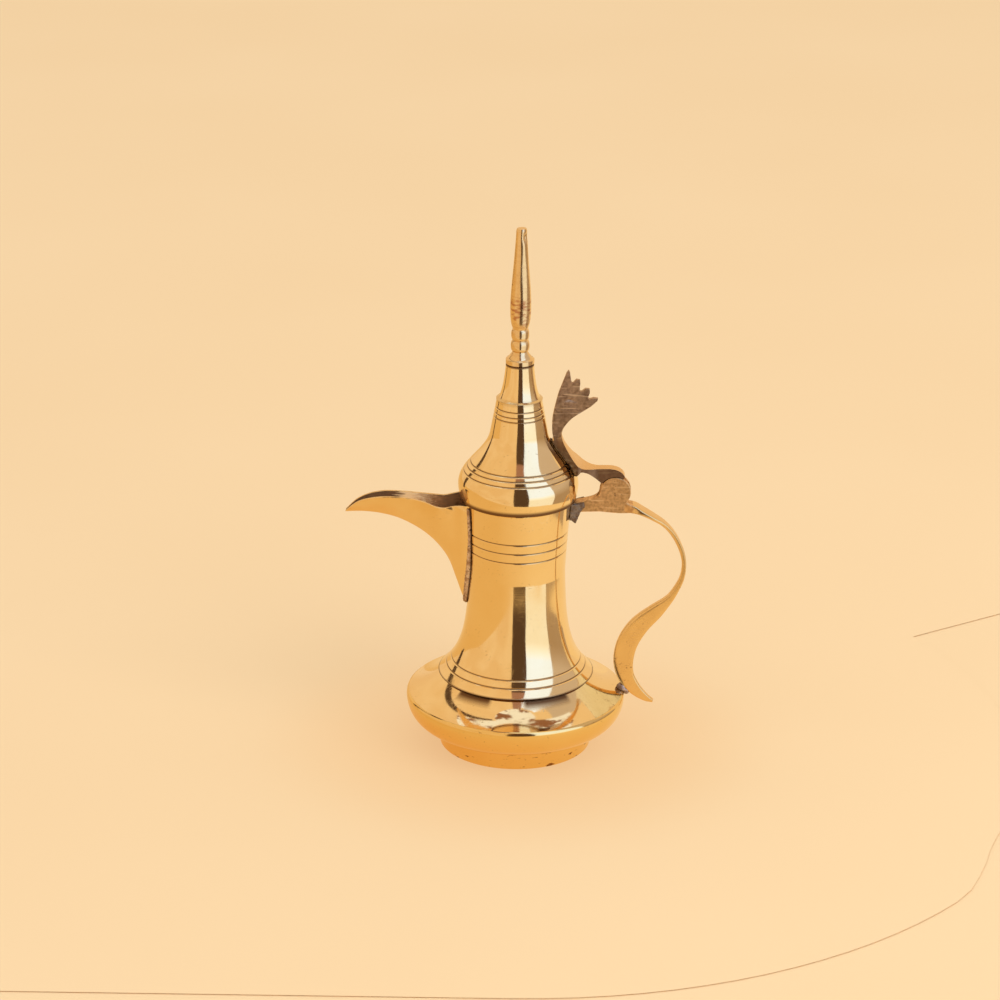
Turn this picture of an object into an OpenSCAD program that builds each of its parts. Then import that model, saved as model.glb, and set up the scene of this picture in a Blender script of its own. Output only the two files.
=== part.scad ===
// Brass coffee pot with a beak spout, a bell-shaped neck on a wide dished base,
// a cast handle and a tall hinged lid. Millimetres, +Z up, the foot stands on
// z = 0, the neck's axis is the Z axis, the spout points to -X and the handle to +X.
// Every sheet part is a turned shell, every cast part is a solid of its own.

/* [Sheet metal] */
// Thickness of the spun sheet
wall = 1.2; // [0.8:0.1:1.5]
// Film of solder between two pieces that are soldered together
film = 0.05; // [0.02:0.01:0.08]
// Radius of the wire-thin turned grooves
groove_r = 0.4; // [0.2:0.05:0.5]

/* [Foot and base] */
// Radius of the foot ring where it stands
foot_r = 37.5; // [34:0.5:40]
// Height of the foot ring
foot_h = 10.5; // [8:0.5:13]
// How far the foot ring widens towards its top
foot_flare = 0.8; // [0:0.1:1.5]
// Height of the floor disc above the ground
floor_lift = 1; // [0.5:0.1:2]
// Radius of the base at its widest ring
belly_r = 54.3; // [51:0.1:58]
// Height from the foot's top to the widest ring
belly_rise = 14; // [11:0.5:17]
// Height of the rolled lip above the widest ring
lip_h = 2.7; // [2:0.1:4]
// How far the rolled lip turns in to the crease
lip_in = 1.3; // [0.8:0.1:2]
// Height of the shoulder from the crease to the neck's skirt
shoulder_h = 10.6; // [9:0.1:13]

/* [Neck] */
// Radius of the neck at its narrowest
neck_r = 23.4; // [21:0.1:25]
// Radius of the skirt's edge on the shoulder
skirt_r = 38.5; // [36:0.1:41]
// Height over which the skirt's flare falls to about a third
flare_len = 13.7; // [11:0.1:16]
// Height of the neck from the skirt's edge to its mouth
neck_h = 90.7; // [86:0.1:96]
// Height from the skirt's edge to the narrowest ring
waist_h = 54; // [48:1:60]
// How far the neck widens from its waist to its mouth
mouth_flare = 2.8; // [2:0.1:4]
// Depth of the mouth below which the highest turned groove lies
groove_drop = 15.1; // [13:0.1:18]
// Spacing of the neck's turned grooves
groove_pitch = 4.85; // [3:0.05:6]
// Heights of the skirt's two turned grooves above its edge
skirt_grooves = [3.9, 7.3];
// Height of the mouth's rim ring
rim_h = 1.5; // [1:0.1:2.5]
// How far the rim ring stands out past the neck
rim_out = 0.4; // [0.2:0.1:0.6]

/* [Spout] */
// Thickness of the beak's wall
spout_wall = 1.1; // [0.9:0.1:1.4]
// Half width of the slot through the neck's wall at its top
slot_half = 6; // [4:0.5:8]
// Height of the slot's top below the neck's mouth
slot_drop = 8; // [7:0.5:12]
// Height of the slot
slot_h = 36; // [24:1:40]
// Radius of the solder bead round the beak's root
seam_r = 1.5; // [1:0.1:2]

/* [Lid] */
// Gap between the lid's flange and the rim ring
lid_gap = 0.3; // [0.2:0.05:0.4]
// Radius of the lid's lower edge
lid_edge_r = 28.3; // [27.8:0.1:29]
// Radius of the lid at its bulge
lid_r = 29.4; // [29:0.1:31]
// Height of the bulge above the lid's edge
bulge_h = 7.5; // [5:0.5:10]
// Height of the dome from its edge to the foot of its upper cone
dome_h = 34.4; // [30:0.1:40]
// Radius of the dome at the foot of its upper cone
dome_neck_r = 14; // [13:0.1:16]
// Height of the dome's upper cone
dome_cone_h = 16.6; // [14:0.1:20]
// Radius at the top of the dome's upper cone
dome_top_r = 11; // [10:0.1:12]
// Heights of the dome's lower grooves above the lid's edge
dome_grooves = [14.5, 16.8, 18.8];
// Heights of the dome's upper grooves above the lid's edge
cone_grooves = [42.5, 44.6, 47.2];
// Height of the lid's top cone
cone_h = 17.9; // [15:0.1:22]
// Radius of the top cone's lip over the dome
cone_lip_r = 11.3; // [11:0.1:12.5]
// Radius of the top cone at its top
cone_top_r = 6.8; // [6:0.1:8]
// Play between the lid's collar and the neck's mouth
collar_play = 0.9; // [0.7:0.1:1.3]
// Depth of the collar inside the neck
collar_h = 3.5; // [2.5:0.5:4.5]

/* [Finial] */
// Height of the finial's foot disc
finial_foot_h = 2.8; // [2:0.1:4]
// Height of the finial's tapered root with its two beads
finial_root_h = 14.9; // [12:0.1:18]
// Height of the finial's spindle
spindle_h = 50; // [44:0.5:56]
// Radius of the spindle at its fullest
spindle_r = 5; // [4:0.1:6]
// Radius of the spindle's flat tip
tip_r = 2.3; // [1.5:0.1:3]
// Radius of the finial's stud
stud_r = 2; // [1.5:0.1:2.5]

/* [Hinge] */
// Distance of the hinge pin from the neck's axis
pin_x = 47.4; // [46:0.1:49]
// Height of the hinge pin above the lid's edge
pin_lift = 3.9; // [3.5:0.1:5]
// Radius of the hinge pin
pin_r = 1.5; // [1:0.1:2]
// Running clearance of the pin in the lever's tongue
pin_play = 0.05; // [0.02:0.01:0.08]
// Radius of the handle's two round ears
ear_r = 7.6; // [7:0.1:8]
// Width of the two ears with the slot between them
ear_w = 6.2; // [5.6:0.1:7]
// Width of the slot between the ears
slot_w = 2.4; // [2:0.1:2.8]
// Clearance of the tongue and the shoulder from the ears
hinge_gap = 0.3; // [0.2:0.05:0.4]

/* [Thumb lever] */
// Thickness of the lever's stem and crown
stem_w = 5; // [4:0.1:6]
// Half width of the saddle that lies on the lid
saddle_half = 8.4; // [7:0.1:10]
// Thickness of the solder between the saddle and the dome
solder_h = 0.9; // [0.5:0.1:1.5]

/* [Hidden] */
$fn = 96;

gold = "#e8b25a";
deep_gold = "#d99a3c";
dark_brass = "#7c5632";
grey_solder = "#8d8078";

// Heights, each from the piece below it
belly_z = foot_h + belly_rise;
crease_z = belly_z + lip_h;
crease_r = belly_r - lip_in;
skirt_z = crease_z + shoulder_h;
mouth_z = skirt_z + neck_h;
rim_z = mouth_z + rim_h;
lid_z = rim_z - 0.4;
dome_z = lid_z + dome_h;
cone_z = dome_z + dome_cone_h;
finial_z = cone_z + cone_h;
pin_z = lid_z + pin_lift;

// ---- curves ----

// Points on a cubic Bezier curve, both ends included
function bezier(a, b, c, d, n = 12) =
    [for (i = [0 : n]) let (t = i / n, u = 1 - t)
        u * u * u * a + 3 * u * u * t * b + 3 * u * t * t * c + t * t * t * d];

// A smooth curve through every point of a list, n steps between two points
function spline(pts, n = 3) =
    let (last = len(pts) - 1)
    concat(
        [for (i = [0 : last - 1], k = [0 : n - 1])
            let (a = pts[max(i - 1, 0)], b = pts[i], c = pts[i + 1],
                 d = pts[min(i + 2, last)], t = k / n)
            0.5 * (2 * b + (c - a) * t + (2 * a - 5 * b + 4 * c - d) * t * t
                   + (3 * b - a - 3 * c + d) * t * t * t)],
        [pts[last]]);

// Points on an arc about a centre
function arc(centre, r, from, to, n = 12) =
    [for (i = [0 : n]) let (a = from + (to - from) * i / n)
        centre + r * [cos(a), sin(a)]];

// A path moved sideways by d, to its left as it is walked, ends moved level
function beside(path, d) =
    let (last = len(path) - 1)
    [for (i = [0 : last])
        i == 0 || i == last
        ? path[i] + [sign(unit_left(path, i).x) * d / max(0.3, abs(unit_left(path, i).x)), 0]
        : path[i] + d * unit_left(path, i)
          / max(0.6, abs(unit_left(path, i) * step_left(path, i)))];
function unit(v) = v / norm(v);
function left(v) = [-v.y, v.x];
function step_left(path, i) = left(unit(path[min(i + 1, len(path) - 1)] - path[min(i, len(path) - 2)]));
function unit_left(path, i) =
    left(unit(path[min(i + 1, len(path) - 1)] - path[max(i - 1, 0)]));
function flip(list) = [for (i = [len(list) - 1 : -1 : 0]) list[i]];

// A turned shell whose outer outline is walked upwards, with level ends
module turned_shell(outline, thick = wall) {
    inside = beside(outline, thick);
    last = len(outline) - 1;
    low = outline[0].y + 0.05;
    high = outline[last].y - 0.05;
    rotate_extrude() polygon(concat(outline, [inside[last]],
        [for (i = [last - 1 : -1 : 1]) if (inside[i].y > low && inside[i].y < high) inside[i]],
        [inside[0]]));
}

// A turned groove, cut where the surface has radius r at height z
module groove(r, z, size = groove_r) {
    rotate_extrude() translate([r, z]) circle(size, $fn = 24);
}

// An outline in the X-Z plane, w thick about the plane y = 0
module plate(w) {
    rotate([90, 0, 0]) translate([0, 0, -w / 2]) linear_extrude(w) children();
}

// A solid bar through a list of [x, z, thickness, width], its edges bevelled
module cast_bar(stations, bevel = 0.28) {
    count = len(stations);
    sides = 8;
    rings = [for (i = [0 : count - 1])
        let (s = stations[i], a = stations[max(i - 1, 0)],
             b = stations[min(i + 1, count - 1)],
             along = unit([b.x - a.x, b.y - a.y]), t = s[2] / 2, w = s[3] / 2,
             cut = 2 * bevel * min(t, w))
        for (q = [[t - cut, -w], [t, cut - w], [t, w - cut], [t - cut, w],
                  [cut - t, w], [-t, w - cut], [-t, cut - w], [cut - t, -w]])
            [s.x - along.y * q.x, q.y, s.y + along.x * q.x]];
    polyhedron(rings, concat(
        [[for (k = [0 : sides - 1]) sides - 1 - k]],
        [for (i = [0 : count - 2], k = [0 : sides - 1])
            let (a = i * sides + k, b = i * sides + (k + 1) % sides)
            each [[a, b, b + sides], [a, b + sides, a + sides]]],
        [[for (k = [0 : sides - 1]) (count - 1) * sides + k]]));
}

// ---- outlines of the turned parts ----

bowl_outline = concat(
    [[foot_r, 0], [foot_r + foot_flare, foot_h - 1]],
    bezier([foot_r + foot_flare + 0.6, foot_h], [belly_r - 6.3, foot_h],
           [belly_r - 0.5, foot_h + 5], [belly_r, belly_z], 14),
    [[belly_r - 0.15, belly_z + lip_h * 0.5], [belly_r - 0.55, belly_z + lip_h * 0.82],
     [crease_r, crease_z]]);

// The neck's outer radius at a height, a bell flare below and a soft one above
function neck_outer(z) =
    neck_r + (skirt_r - neck_r) * exp(-(z - skirt_z) / flare_len)
    + mouth_flare * pow(max(0, z - skirt_z - waist_h) / (neck_h - waist_h), 1.2);
function neck_slope(z) = (neck_outer(z + 0.1) - neck_outer(z - 0.1)) / 0.2;
// The wall is measured square to the surface, so it is wider along the level
function neck_inner(z) = neck_outer(z) - wall * sqrt(1 + pow(neck_slope(z), 2));
neck_levels = concat([for (i = [0 : 15]) skirt_z + 30 * pow(i / 16, 1.2)],
                     [for (i = [0 : 16]) skirt_z + 30 + (neck_h - 30) * i / 16]);

collar_up = 3.5;
shoulder_outline = concat(
    bezier([crease_r, crease_z], [crease_r - 6, crease_z + 2.3],
           [skirt_r + 3.5, skirt_z - 5.2],
           [neck_inner(skirt_z) - 3 * film, skirt_z - film], 14),
    [for (i = [1 : 4]) let (z = skirt_z + collar_up * i / 4)
        [neck_inner(z) - 3 * film, z]]);

dome_outline = concat(
    bezier([lid_edge_r, lid_z], [lid_edge_r + 0.5, lid_z + bulge_h * 0.35],
           [lid_r, lid_z + bulge_h * 0.6], [lid_r, lid_z + bulge_h], 6),
    [for (p = bezier([lid_r, lid_z + bulge_h], [lid_r, lid_z + bulge_h + 9.5],
                     [dome_neck_r + 1.5, dome_z - 11], [dome_neck_r, dome_z], 20))
        if (p.y > lid_z + bulge_h + 0.1) p],
    [[dome_top_r, cone_z]]);

cone_outline = concat(
    [[cone_lip_r, cone_z], [cone_lip_r, cone_z + 0.4]],
    bezier([cone_lip_r - 1.3, cone_z + 0.9], [cone_lip_r - 2.9, cone_z + 4.2],
           [cone_top_r + 0.7, cone_z + 9.5], [cone_top_r, finial_z], 10));

// The lid's radius at a height, read off its outline
function radius_at(outline, z) = lookup(z, [for (p = outline) [p.y, p.x]]);

// ---- foot and base ----

module foot_disc() {
    disc_r = foot_r - wall - film;
    color(deep_gold) difference() {
        translate([0, 0, floor_lift]) cylinder(h = wall, r = disc_r);
        for (ring = [0.35, 0.7]) groove(disc_r * ring, floor_lift);
    }
}

module foot_solder() {
    top = floor_lift + wall + film;
    fillet = 1.2;
    color(grey_solder) rotate_extrude()
        polygon([[foot_r - wall - film, top], [foot_r - wall - film, top + fillet],
                 [foot_r - wall - film - fillet, top]]);
}

module base_bowl() {
    color(deep_gold) turned_shell(bowl_outline);
}

module belly_solder() {
    inside = beside(bowl_outline, wall);
    lip = inside[len(inside) - 1];
    below = inside[len(inside) - 2];
    color(grey_solder) rotate_extrude()
        polygon([[lip.x - film - 1, crease_z], [lip.x - film, crease_z],
                 [below.x - 2 * film, below.y - film], [below.x - 1.2, below.y - 0.5]]);
}

module shoulder() {
    color(gold) turned_shell([for (p = shoulder_outline) p + [0, film]]);
}

module skirt_solder() {
    top = skirt_z + collar_up + 3 * film;
    fillet = 1.2;
    color(grey_solder) rotate_extrude()
        polygon([[neck_inner(top) - film, top],
                 [neck_inner(top + fillet) - film, top + fillet],
                 [neck_inner(top) - film - fillet, top]]);
}

// ---- neck ----

module neck() {
    color(gold) difference() {
        rotate_extrude() polygon(concat(
            [for (z = neck_levels) [neck_outer(z), z]],
            flip([for (z = neck_levels) [neck_inner(z), z]])));
        for (i = [0 : 2]) let (z = mouth_z - groove_drop - i * groove_pitch)
            groove(neck_outer(z), z);
        for (h = skirt_grooves) groove(neck_outer(skirt_z + h), skirt_z + h);
        pouring_slot();
    }
}

// The slot through which the coffee passes from the neck into the beak
module pouring_slot() {
    top = mouth_z - slot_drop;
    translate([-neck_r, 0, 0]) rotate([0, -90, 0]) translate([0, 0, -4])
        linear_extrude(10) union() {
            polygon([[top - slot_h, -1.5], [top - 2, -slot_half], [top - 2, slot_half],
                     [top - slot_h, 1.5]]);
            translate([top - slot_h, 0]) circle(1.5, $fn = 24);
            translate([top - 2, 0]) square([4, 2 * slot_half], center = true);
        }
}

module rim_ring() {
    outer = neck_outer(mouth_z) + rim_out;
    inner = neck_inner(mouth_z) - film;
    edge = 0.4;
    color(gold) rotate_extrude()
        polygon([[inner, mouth_z], [outer - edge, mouth_z], [outer, mouth_z + edge],
                 [outer, rim_z - edge], [outer - edge, rim_z], [inner + edge, rim_z],
                 [inner, rim_z - edge]]);
}

// The neck as a solid, grown by a clearance, for cutting what is soldered to it
module neck_solid(gap) {
    low = skirt_z + 22;
    rotate_extrude() polygon(concat(
        [[0, low]],
        [for (i = [0 : 14]) let (z = low + (mouth_z - low) * i / 14)
            [neck_outer(z) + gap, z]],
        [[neck_outer(mouth_z) + rim_out + gap, mouth_z],
         [neck_outer(mouth_z) + rim_out + gap, rim_z], [0, rim_z]]));
}

// ---- spout ----

// The beak's sections from its root to its tip: the keel's [x, z], the rim's
// [x, z] and the half width at the rim, measured down from the neck's mouth
spout_sections = [
    [-20.0, -55.5, -20.0, 0.0, 11.6],
    [-25.6, -53.6, -26.4, -0.2, 10.9],
    [-29.6, -43.5, -31.5, -0.9, 9.8],
    [-33.4, -33.0, -36.0, -1.9, 9.6],
    [-38.0, -25.7, -40.5, -1.4, 8.8],
    [-44.0, -19.5, -46.0, 0.0, 6.4],
    [-51.0, -14.6, -52.0, 1.0, 5.1],
    [-59.0, -10.7, -58.5, 1.6, 4.7],
    [-67.0, -8.6, -65.5, 1.7, 4.6],
    [-74.5, -7.7, -72.5, 0.6, 4.0],
    [-80.5, -7.7, -78.8, -2.0, 2.7],
    [-84.6, -8.0, -84.2, -6.8, 1.5]];
spout_steps = 2;
spout_half = 7;

// One section of the beak as a list of points from rim over keel to rim; the
// hollow's section is narrower by the wall and its keel is raised by it
function beak_section(s, thick) =
    [for (i = [-spout_half : spout_half])
        let (q = 1 - abs(i) / spout_half, keel = [s[0], s[1]], rim = [s[2], s[3]],
             up = unit(rim - keel), foot = keel + up * thick * 1.25,
             p = rim + (foot - rim) * q,
             half = max(s[4] - thick * 1.1, 0.3) * (1 - pow(q, 1.6)))
        [p.x, sign(i) * half, mouth_z + p.y]];

// The beak as if its trough were full, grown by a gap, for cutting what lies
// against it
module beak_filled(gap) {
    stations = spline(spout_sections, spout_steps);
    n = 2 * spout_half + 1;
    count = len(stations);
    polyhedron([for (s = stations) each beak_section(s, -gap)], concat(
        [[for (i = [0 : n - 1]) n - 1 - i]],
        [for (k = [0 : count - 2], i = [0 : n - 1])
            let (a = k * n + i, b = k * n + (i + 1) % n)
            each [[a, b, b + n], [a, b + n, a + n]]],
        [[for (i = [0 : n - 1]) (count - 1) * n + i]]));
}

// A closed solid between the beak's outer skin and its hollow
module beak(thick) {
    stations = spline(spout_sections, spout_steps);
    n = 2 * spout_half + 1;
    count = len(stations);
    ring = 2 * n;
    pts = [for (s = stations) each concat(beak_section(s, 0), flip(beak_section(s, thick)))];
    polyhedron(pts, concat(
        [for (i = [0 : n - 2]) [i + 1, i, ring - 1 - i, ring - 2 - i]],
        [for (k = [0 : count - 2], i = [0 : ring - 1])
            let (a = k * ring + i, b = k * ring + (i + 1) % ring)
            each [[a, b, b + ring], [a, b + ring, a + ring]]],
        [for (i = [0 : n - 2]) let (o = (count - 1) * ring)
            [o + i, o + i + 1, o + ring - 2 - i, o + ring - 1 - i]]));
}

module spout() {
    color(gold) difference() {
        beak(spout_wall);
        neck_solid(film);
    }
}

// The bead of solder that runs down one side of the beak's root, round its
// lowest point and up the other side
module spout_solder() {
    color(grey_solder) difference() {
        seam_bead();
        neck_solid(film);
        beak_filled(2 * film);
        translate([-neck_r - 20, -20, mouth_z - 3]) cube([40, 40, 20]);
    }
}

module seam_bead() {
    sides = 8;
    root = spout_sections[1];
    path = [for (i = [-8 : 8])
        let (q = 1 - abs(i) / 8, z = mouth_z + root[3] + (root[1] - root[3]) * q,
             y = sign(i) * (root[4] + 0.1) * (1 - pow(q, 1.6)),
             r = neck_outer(z) + 0.2)
        [-sqrt(r * r - y * y), y, z]];
    count = len(path);
    pts = [for (i = [0 : count - 1])
        let (along = unit(path[min(i + 1, count - 1)] - path[max(i - 1, 0)]),
             out = unit([path[i].x, path[i].y, 0]), side = unit(cross(along, out)),
             lift = cross(side, along))
        for (k = [0 : sides - 1])
            path[i] + seam_r * (lift * cos(k * 45) + side * sin(k * 45))];
    polyhedron(pts, concat(
        [[for (k = [0 : sides - 1]) sides - 1 - k]],
        [for (i = [0 : count - 2], k = [0 : sides - 1])
            let (a = i * sides + k, b = i * sides + (k + 1) % sides)
            each [[a, b, b + sides], [a, b + sides, a + sides]]],
        [[for (k = [0 : sides - 1]) (count - 1) * sides + k]]));
}

// ---- handle ----

// The strap's middle line from the ears over the arch: distance out from the pin,
// height below it, thickness in the handle's plane, width across it
arch_stations = [
    [4.6, -7.9, 5, 6.2], [9.6, -8.9, 4.2, 8.4], [13.6, -10.6, 2.7, 9.2],
    [19.1, -13.6, 2.1, 8.2], [24.6, -17.3, 2.1, 6.2], [29.4, -23, 2.3, 4.8],
    [33.1, -30.5, 2.3, 4.2], [34.7, -38, 2.2, 4], [33.8, -46, 2.4, 4]];
// The leaf and its tail, in the same way from the crease on which it rests
leaf_stations = [
    [24.5, 52.4, 3.2, 4], [21.2, 47.9, 4.6, 4], [15.7, 42.4, 7.6, 3.8],
    [7.9, 34.8, 9.8, 3.6], [2.5, 25.8, 10.4, 3.6], [0.5, 16.3, 10, 3.6],
    [1.8, 7.8, 8.4, 3.6], [6.2, 0.8, 6.4, 3.4], [11.6, -4, 3.8, 3],
    [15.6, -6, 1.4, 2.6]];
strap_stations = concat(
    [for (s = arch_stations) [pin_x + s[0], pin_z + s[1], s[2], s[3]]],
    [for (s = leaf_stations) [crease_r + s[0], crease_z + s[1], s[2], s[3]]]);

module handle() {
    color(gold) difference() {
        union() {
            cast_bar(spline(strap_stations));
            plate(ear_w) ear_outline();
        }
        neck_solid(film);
        hinge_slot();
        rotate([90, 0, 0]) translate([pin_x, pin_z, -ear_w])
            cylinder(h = 2 * ear_w, r = pin_r + 0.02);
    }
}

// The bar from the neck with the two D-shaped ears that stand on it
module ear_outline() {
    translate([pin_x, pin_z]) circle(ear_r);
    polygon([for (p = concat(
        [[-24, -10.7], [-24, -5.9], [-17, -5.4], [-12.2, -4.2]],
        bezier([-12.2, -4.2], [-9.6, -3.4], [-ear_r - 0.2, -2.4], [-ear_r, 0], 6),
        [[0, 0], [5.6, -5.1]],
        bezier([5.6, -5.1], [6.6, -6.2], [7.6, -6.6], [9.5, -6.9], 4),
        [[9.5, -10.6], [2, -10.9], [-7, -10.1]])) [pin_x + p.x, pin_z + p.y]]);
}

// Room between the ears for the lever's tongue over its whole swing
module hinge_slot() {
    floor_depth = 5;
    end = ear_r + 1.5;
    plate(slot_w) union() {
        translate([pin_x, pin_z]) circle(ear_r - 0.5);
        translate([pin_x - end, pin_z - floor_depth]) square([2 * end, ear_r + floor_depth + 1]);
    }
}

module handle_top_solder() {
    color(grey_solder) difference() {
        plate(ear_w + 2.4)
            polygon([for (p = [[-24, -6.4], [-19.2, -6], [-15.2, -5], [-14.7, -7.2],
                               [-16.8, -10.2], [-19, -16.2], [-21.4, -14.6], [-24, -14.6]])
                     [pin_x + p.x, pin_z + p.y]]);
        neck_solid(film);
        plate(ear_w + 2 * film) union() {
            translate([0, film]) ear_outline();
            translate([0, -film]) ear_outline();
        }
    }
}

module handle_foot_solder() {
    color(grey_solder) difference() {
        hull() {
            translate([crease_r - 0.2, 0, crease_z + 0.9]) sphere(2.6, $fn = 16);
            translate([crease_r + 2.2, 0, crease_z - 0.7]) sphere(1.9, $fn = 16);
        }
        rotate_extrude() polygon(concat(
            [[0, 0]], [for (p = bowl_outline) if (p.y > 2) p + [film, 0]],
            [[crease_r + film, crease_z + film]],
            [for (p = shoulder_outline) if (p.y > crease_z + 0.1 && p.y < skirt_z) p + [film, 2 * film]],
            [[0, skirt_z]]));
        cast_bar([for (s = spline(strap_stations))
            [s[0], s[1], s[2] + 2 * film, s[3] + 2 * film]]);
    }
}

module hinge_pin() {
    color(dark_brass) translate([pin_x, 0, pin_z]) rotate([90, 0, 0])
        cylinder(h = ear_w, r = pin_r, center = true);
}

// ---- lid ----

module lid_dome() {
    color(gold) difference() {
        turned_shell(dome_outline);
        for (h = concat(dome_grooves, cone_grooves))
            groove(radius_at(dome_outline, lid_z + h), lid_z + h);
    }
}

module lid_collar() {
    inner = neck_inner(mouth_z) - collar_play - wall;
    under = rim_z + lid_gap;
    seat = wall * 1.03 + film;
    color(gold) rotate_extrude()
        polygon([[inner, mouth_z - collar_h], [inner + wall, mouth_z - collar_h],
                 [inner + wall, under], [radius_at(dome_outline, under) - seat, under],
                 [radius_at(dome_outline, under + wall) - seat, under + wall],
                 [inner, under + wall]]);
}

module lid_cone() {
    plate_h = 1.5;
    inside = finial_z - plate_h;
    color(gold) difference() {
        rotate_extrude() polygon(concat([[0, cone_z]], cone_outline, [[0, finial_z]]));
        rotate_extrude() polygon(concat(
            [[0, cone_z - 1], [cone_lip_r - 1.7, cone_z - 1]],
            [for (p = cone_outline) if (p.y > cone_z + 0.8 && p.y < inside)
                p - [wall + 0.1, 0]],
            [[cone_top_r - wall, inside], [0, inside]]));
        translate([0, 0, inside - 1]) cylinder(h = plate_h + 2, r = stud_r + 0.1);
    }
}

module finial() {
    root_z = finial_z + finial_foot_h;
    spindle_z = root_z + finial_root_h;
    tip_z = spindle_z + spindle_h;
    neck = 3.6;
    low_bead_z = root_z + 3.5;
    high_bead_z = root_z + 9.3;
    color(gold) union() {
        rotate_extrude() polygon(concat(
            [[0, finial_z], [cone_top_r - 0.3, finial_z], [cone_top_r + 0.15, finial_z + 0.4],
             [cone_top_r + 0.15, root_z - 0.4], [cone_top_r - 0.3, root_z]],
            bezier([cone_top_r - 0.8, root_z + 0.2], [5, root_z + 1.5], [neck + 0.4, root_z + 2.6],
                   [neck + 0.1, low_bead_z - 0.1], 5),
            bead(neck, 1.3, low_bead_z, high_bead_z - 0.1),
            bead(neck, 1, high_bead_z, spindle_z - 0.1),
            bezier([neck, spindle_z], [spindle_r, spindle_z + 3], [spindle_r, spindle_z + 8],
                   [spindle_r, spindle_z + 11.5], 8),
            bezier([spindle_r, spindle_z + 11.5], [spindle_r, spindle_z + 20],
                   [tip_r + 1.3, spindle_z + 30], [tip_r + 0.3, tip_z - 1], 10),
            [[tip_r, tip_z], [0, tip_z]]));
        translate([0, 0, finial_z - 5.5]) cylinder(h = 6, r = stud_r);
    }
}

// Outline of a turned bead that swells out of a neck between two heights
function bead(neck, swell, from, to) =
    bezier([neck, from], [neck + swell, from * 0.9 + to * 0.1],
           [neck + swell, from * 0.1 + to * 0.9], [neck, to], 8);

module finial_nut() {
    nut_h = 2.6;
    color(dark_brass) translate([0, 0, finial_z - 1.5 - film - nut_h]) difference() {
        cylinder(h = nut_h, r = 4, $fn = 6);
        translate([0, 0, -1]) cylinder(h = nut_h + 2, r = stud_r + 0.02);
    }
}

// ---- thumb lever ----

// Outline of the crown and stem: x from the axis, height above the lid's edge
crown_outline = concat(
    spline([[17.1, 30], [16.2, 34], [16, 39], [16.6, 44], [17.7, 49.2], [18.9, 54.2],
            [20.7, 59.2], [22.5, 64.2]]),
    [[23.6, 65.8], [24.2, 64.4], [24.9, 60], [25.6, 59.2], [27.3, 61.2], [29.1, 60.9],
     [29.3, 59], [29, 55.6], [29.8, 55], [31.9, 56.6], [33.9, 56.3], [34, 54.6],
     [33.1, 51.8], [34, 51.2], [35.8, 51.8], [38, 51.5]],
    spline([[37.6, 50.4], [34.3, 47.5], [29.5, 44.4], [25.7, 41.8], [22.8, 38.6],
            [21, 35.3], [20.7, 31.5], [21.6, 29]]));

// A distance from the axis, as a share of the way from the lid's bulge to the pin
function across(share) = lid_r + (pin_x - lid_r) * share;

// Top of the saddle and the arm, from the stem to the end of the rule joint
arm_top = [[20.7, 32.5], [22, 28.6], [25.2, 23.3], [lid_r - 1.2, 19.8],
           [across(0.09), 17.6], [across(0.245), 16.5], [across(0.42), 16],
           [pin_x - 6.4, 16], [pin_x - 2.4, 16], [pin_x + 0.9, 15.3],
           [pin_x + 3.3, 13.8], [pin_x + 4.5, 11.9]];
// Underside of the arm, from the rule joint to the saddle's tip on the solder
arm_under = concat(
    spline([[across(0.528), 9.9], [across(0.4), 12], [across(0.245), 14.2],
            [across(0.106), 15.7]]),
    [[lid_r + 0.8, 15.9], [lid_r - 0.2, 14.6], [lid_r - 1, 14.4]]);
// The saddle's underside, which follows the dome at the height of the solder
saddle_seat = [for (p = beside(dome_outline, -solder_h))
    if (p.y > lid_z + 15 && p.y < lid_z + 31) [p.x, p.y - lid_z]];
shoulder_from = 60;
shoulder_to = 147;

module arm_outline() {
    pin = [pin_x, pin_lift];
    polygon(concat(
        spline(arm_top),
        arc(pin, ear_r + hinge_gap, shoulder_from, shoulder_to, 16),
        arm_under, saddle_seat));
}

// Half widths of the saddle and the arm seen from above
saddle_plan = [[12, stem_w / 2], [18, stem_w / 2], [20, 2.8], [22.5, 3.8], [25.4, 6],
               [28, saddle_half - 0.1], [29.2, saddle_half], [31, saddle_half - 0.8],
               [33.8, 5.3], [36.8, 3.5], [39.4, ear_w / 2 - 0.2], [46, ear_w / 2 - 0.2],
               [54, ear_w / 2 - 0.2]];

module thumb_lever() {
    color(dark_brass) difference() {
        union() {
            translate([0, 0, lid_z]) {
                plate(stem_w) polygon(crown_outline);
                intersection() {
                    plate(2 * saddle_half + 2) arm_outline();
                    linear_extrude(40) let (side = spline(saddle_plan, 2))
                        polygon(concat(side, [for (p = flip(side)) [p.x, -p.y]]));
                }
            }
            plate(slot_w - 2 * hinge_gap) tongue_outline();
        }
        lid_solid(film);
        rotate([90, 0, 0]) translate([pin_x, pin_z, -ear_w])
            cylinder(h = 2 * ear_w, r = pin_r + pin_play);
    }
}

// The lever's tongue, a disc round the pin that reaches up into the arm
module tongue_outline() {
    pin = [pin_x, pin_z];
    translate(pin) circle(ear_r - 0.5 - hinge_gap - 0.2);
    polygon(concat([pin], arc(pin, ear_r + 1.2, shoulder_from + 4, shoulder_to - 4, 8)));
}

// The dome as a solid, grown by a clearance
module lid_solid(gap) {
    rotate_extrude() polygon(concat(
        [[0, lid_z]], [for (p = dome_outline) p + [gap, 0]], [[0, cone_z]]));
}

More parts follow.
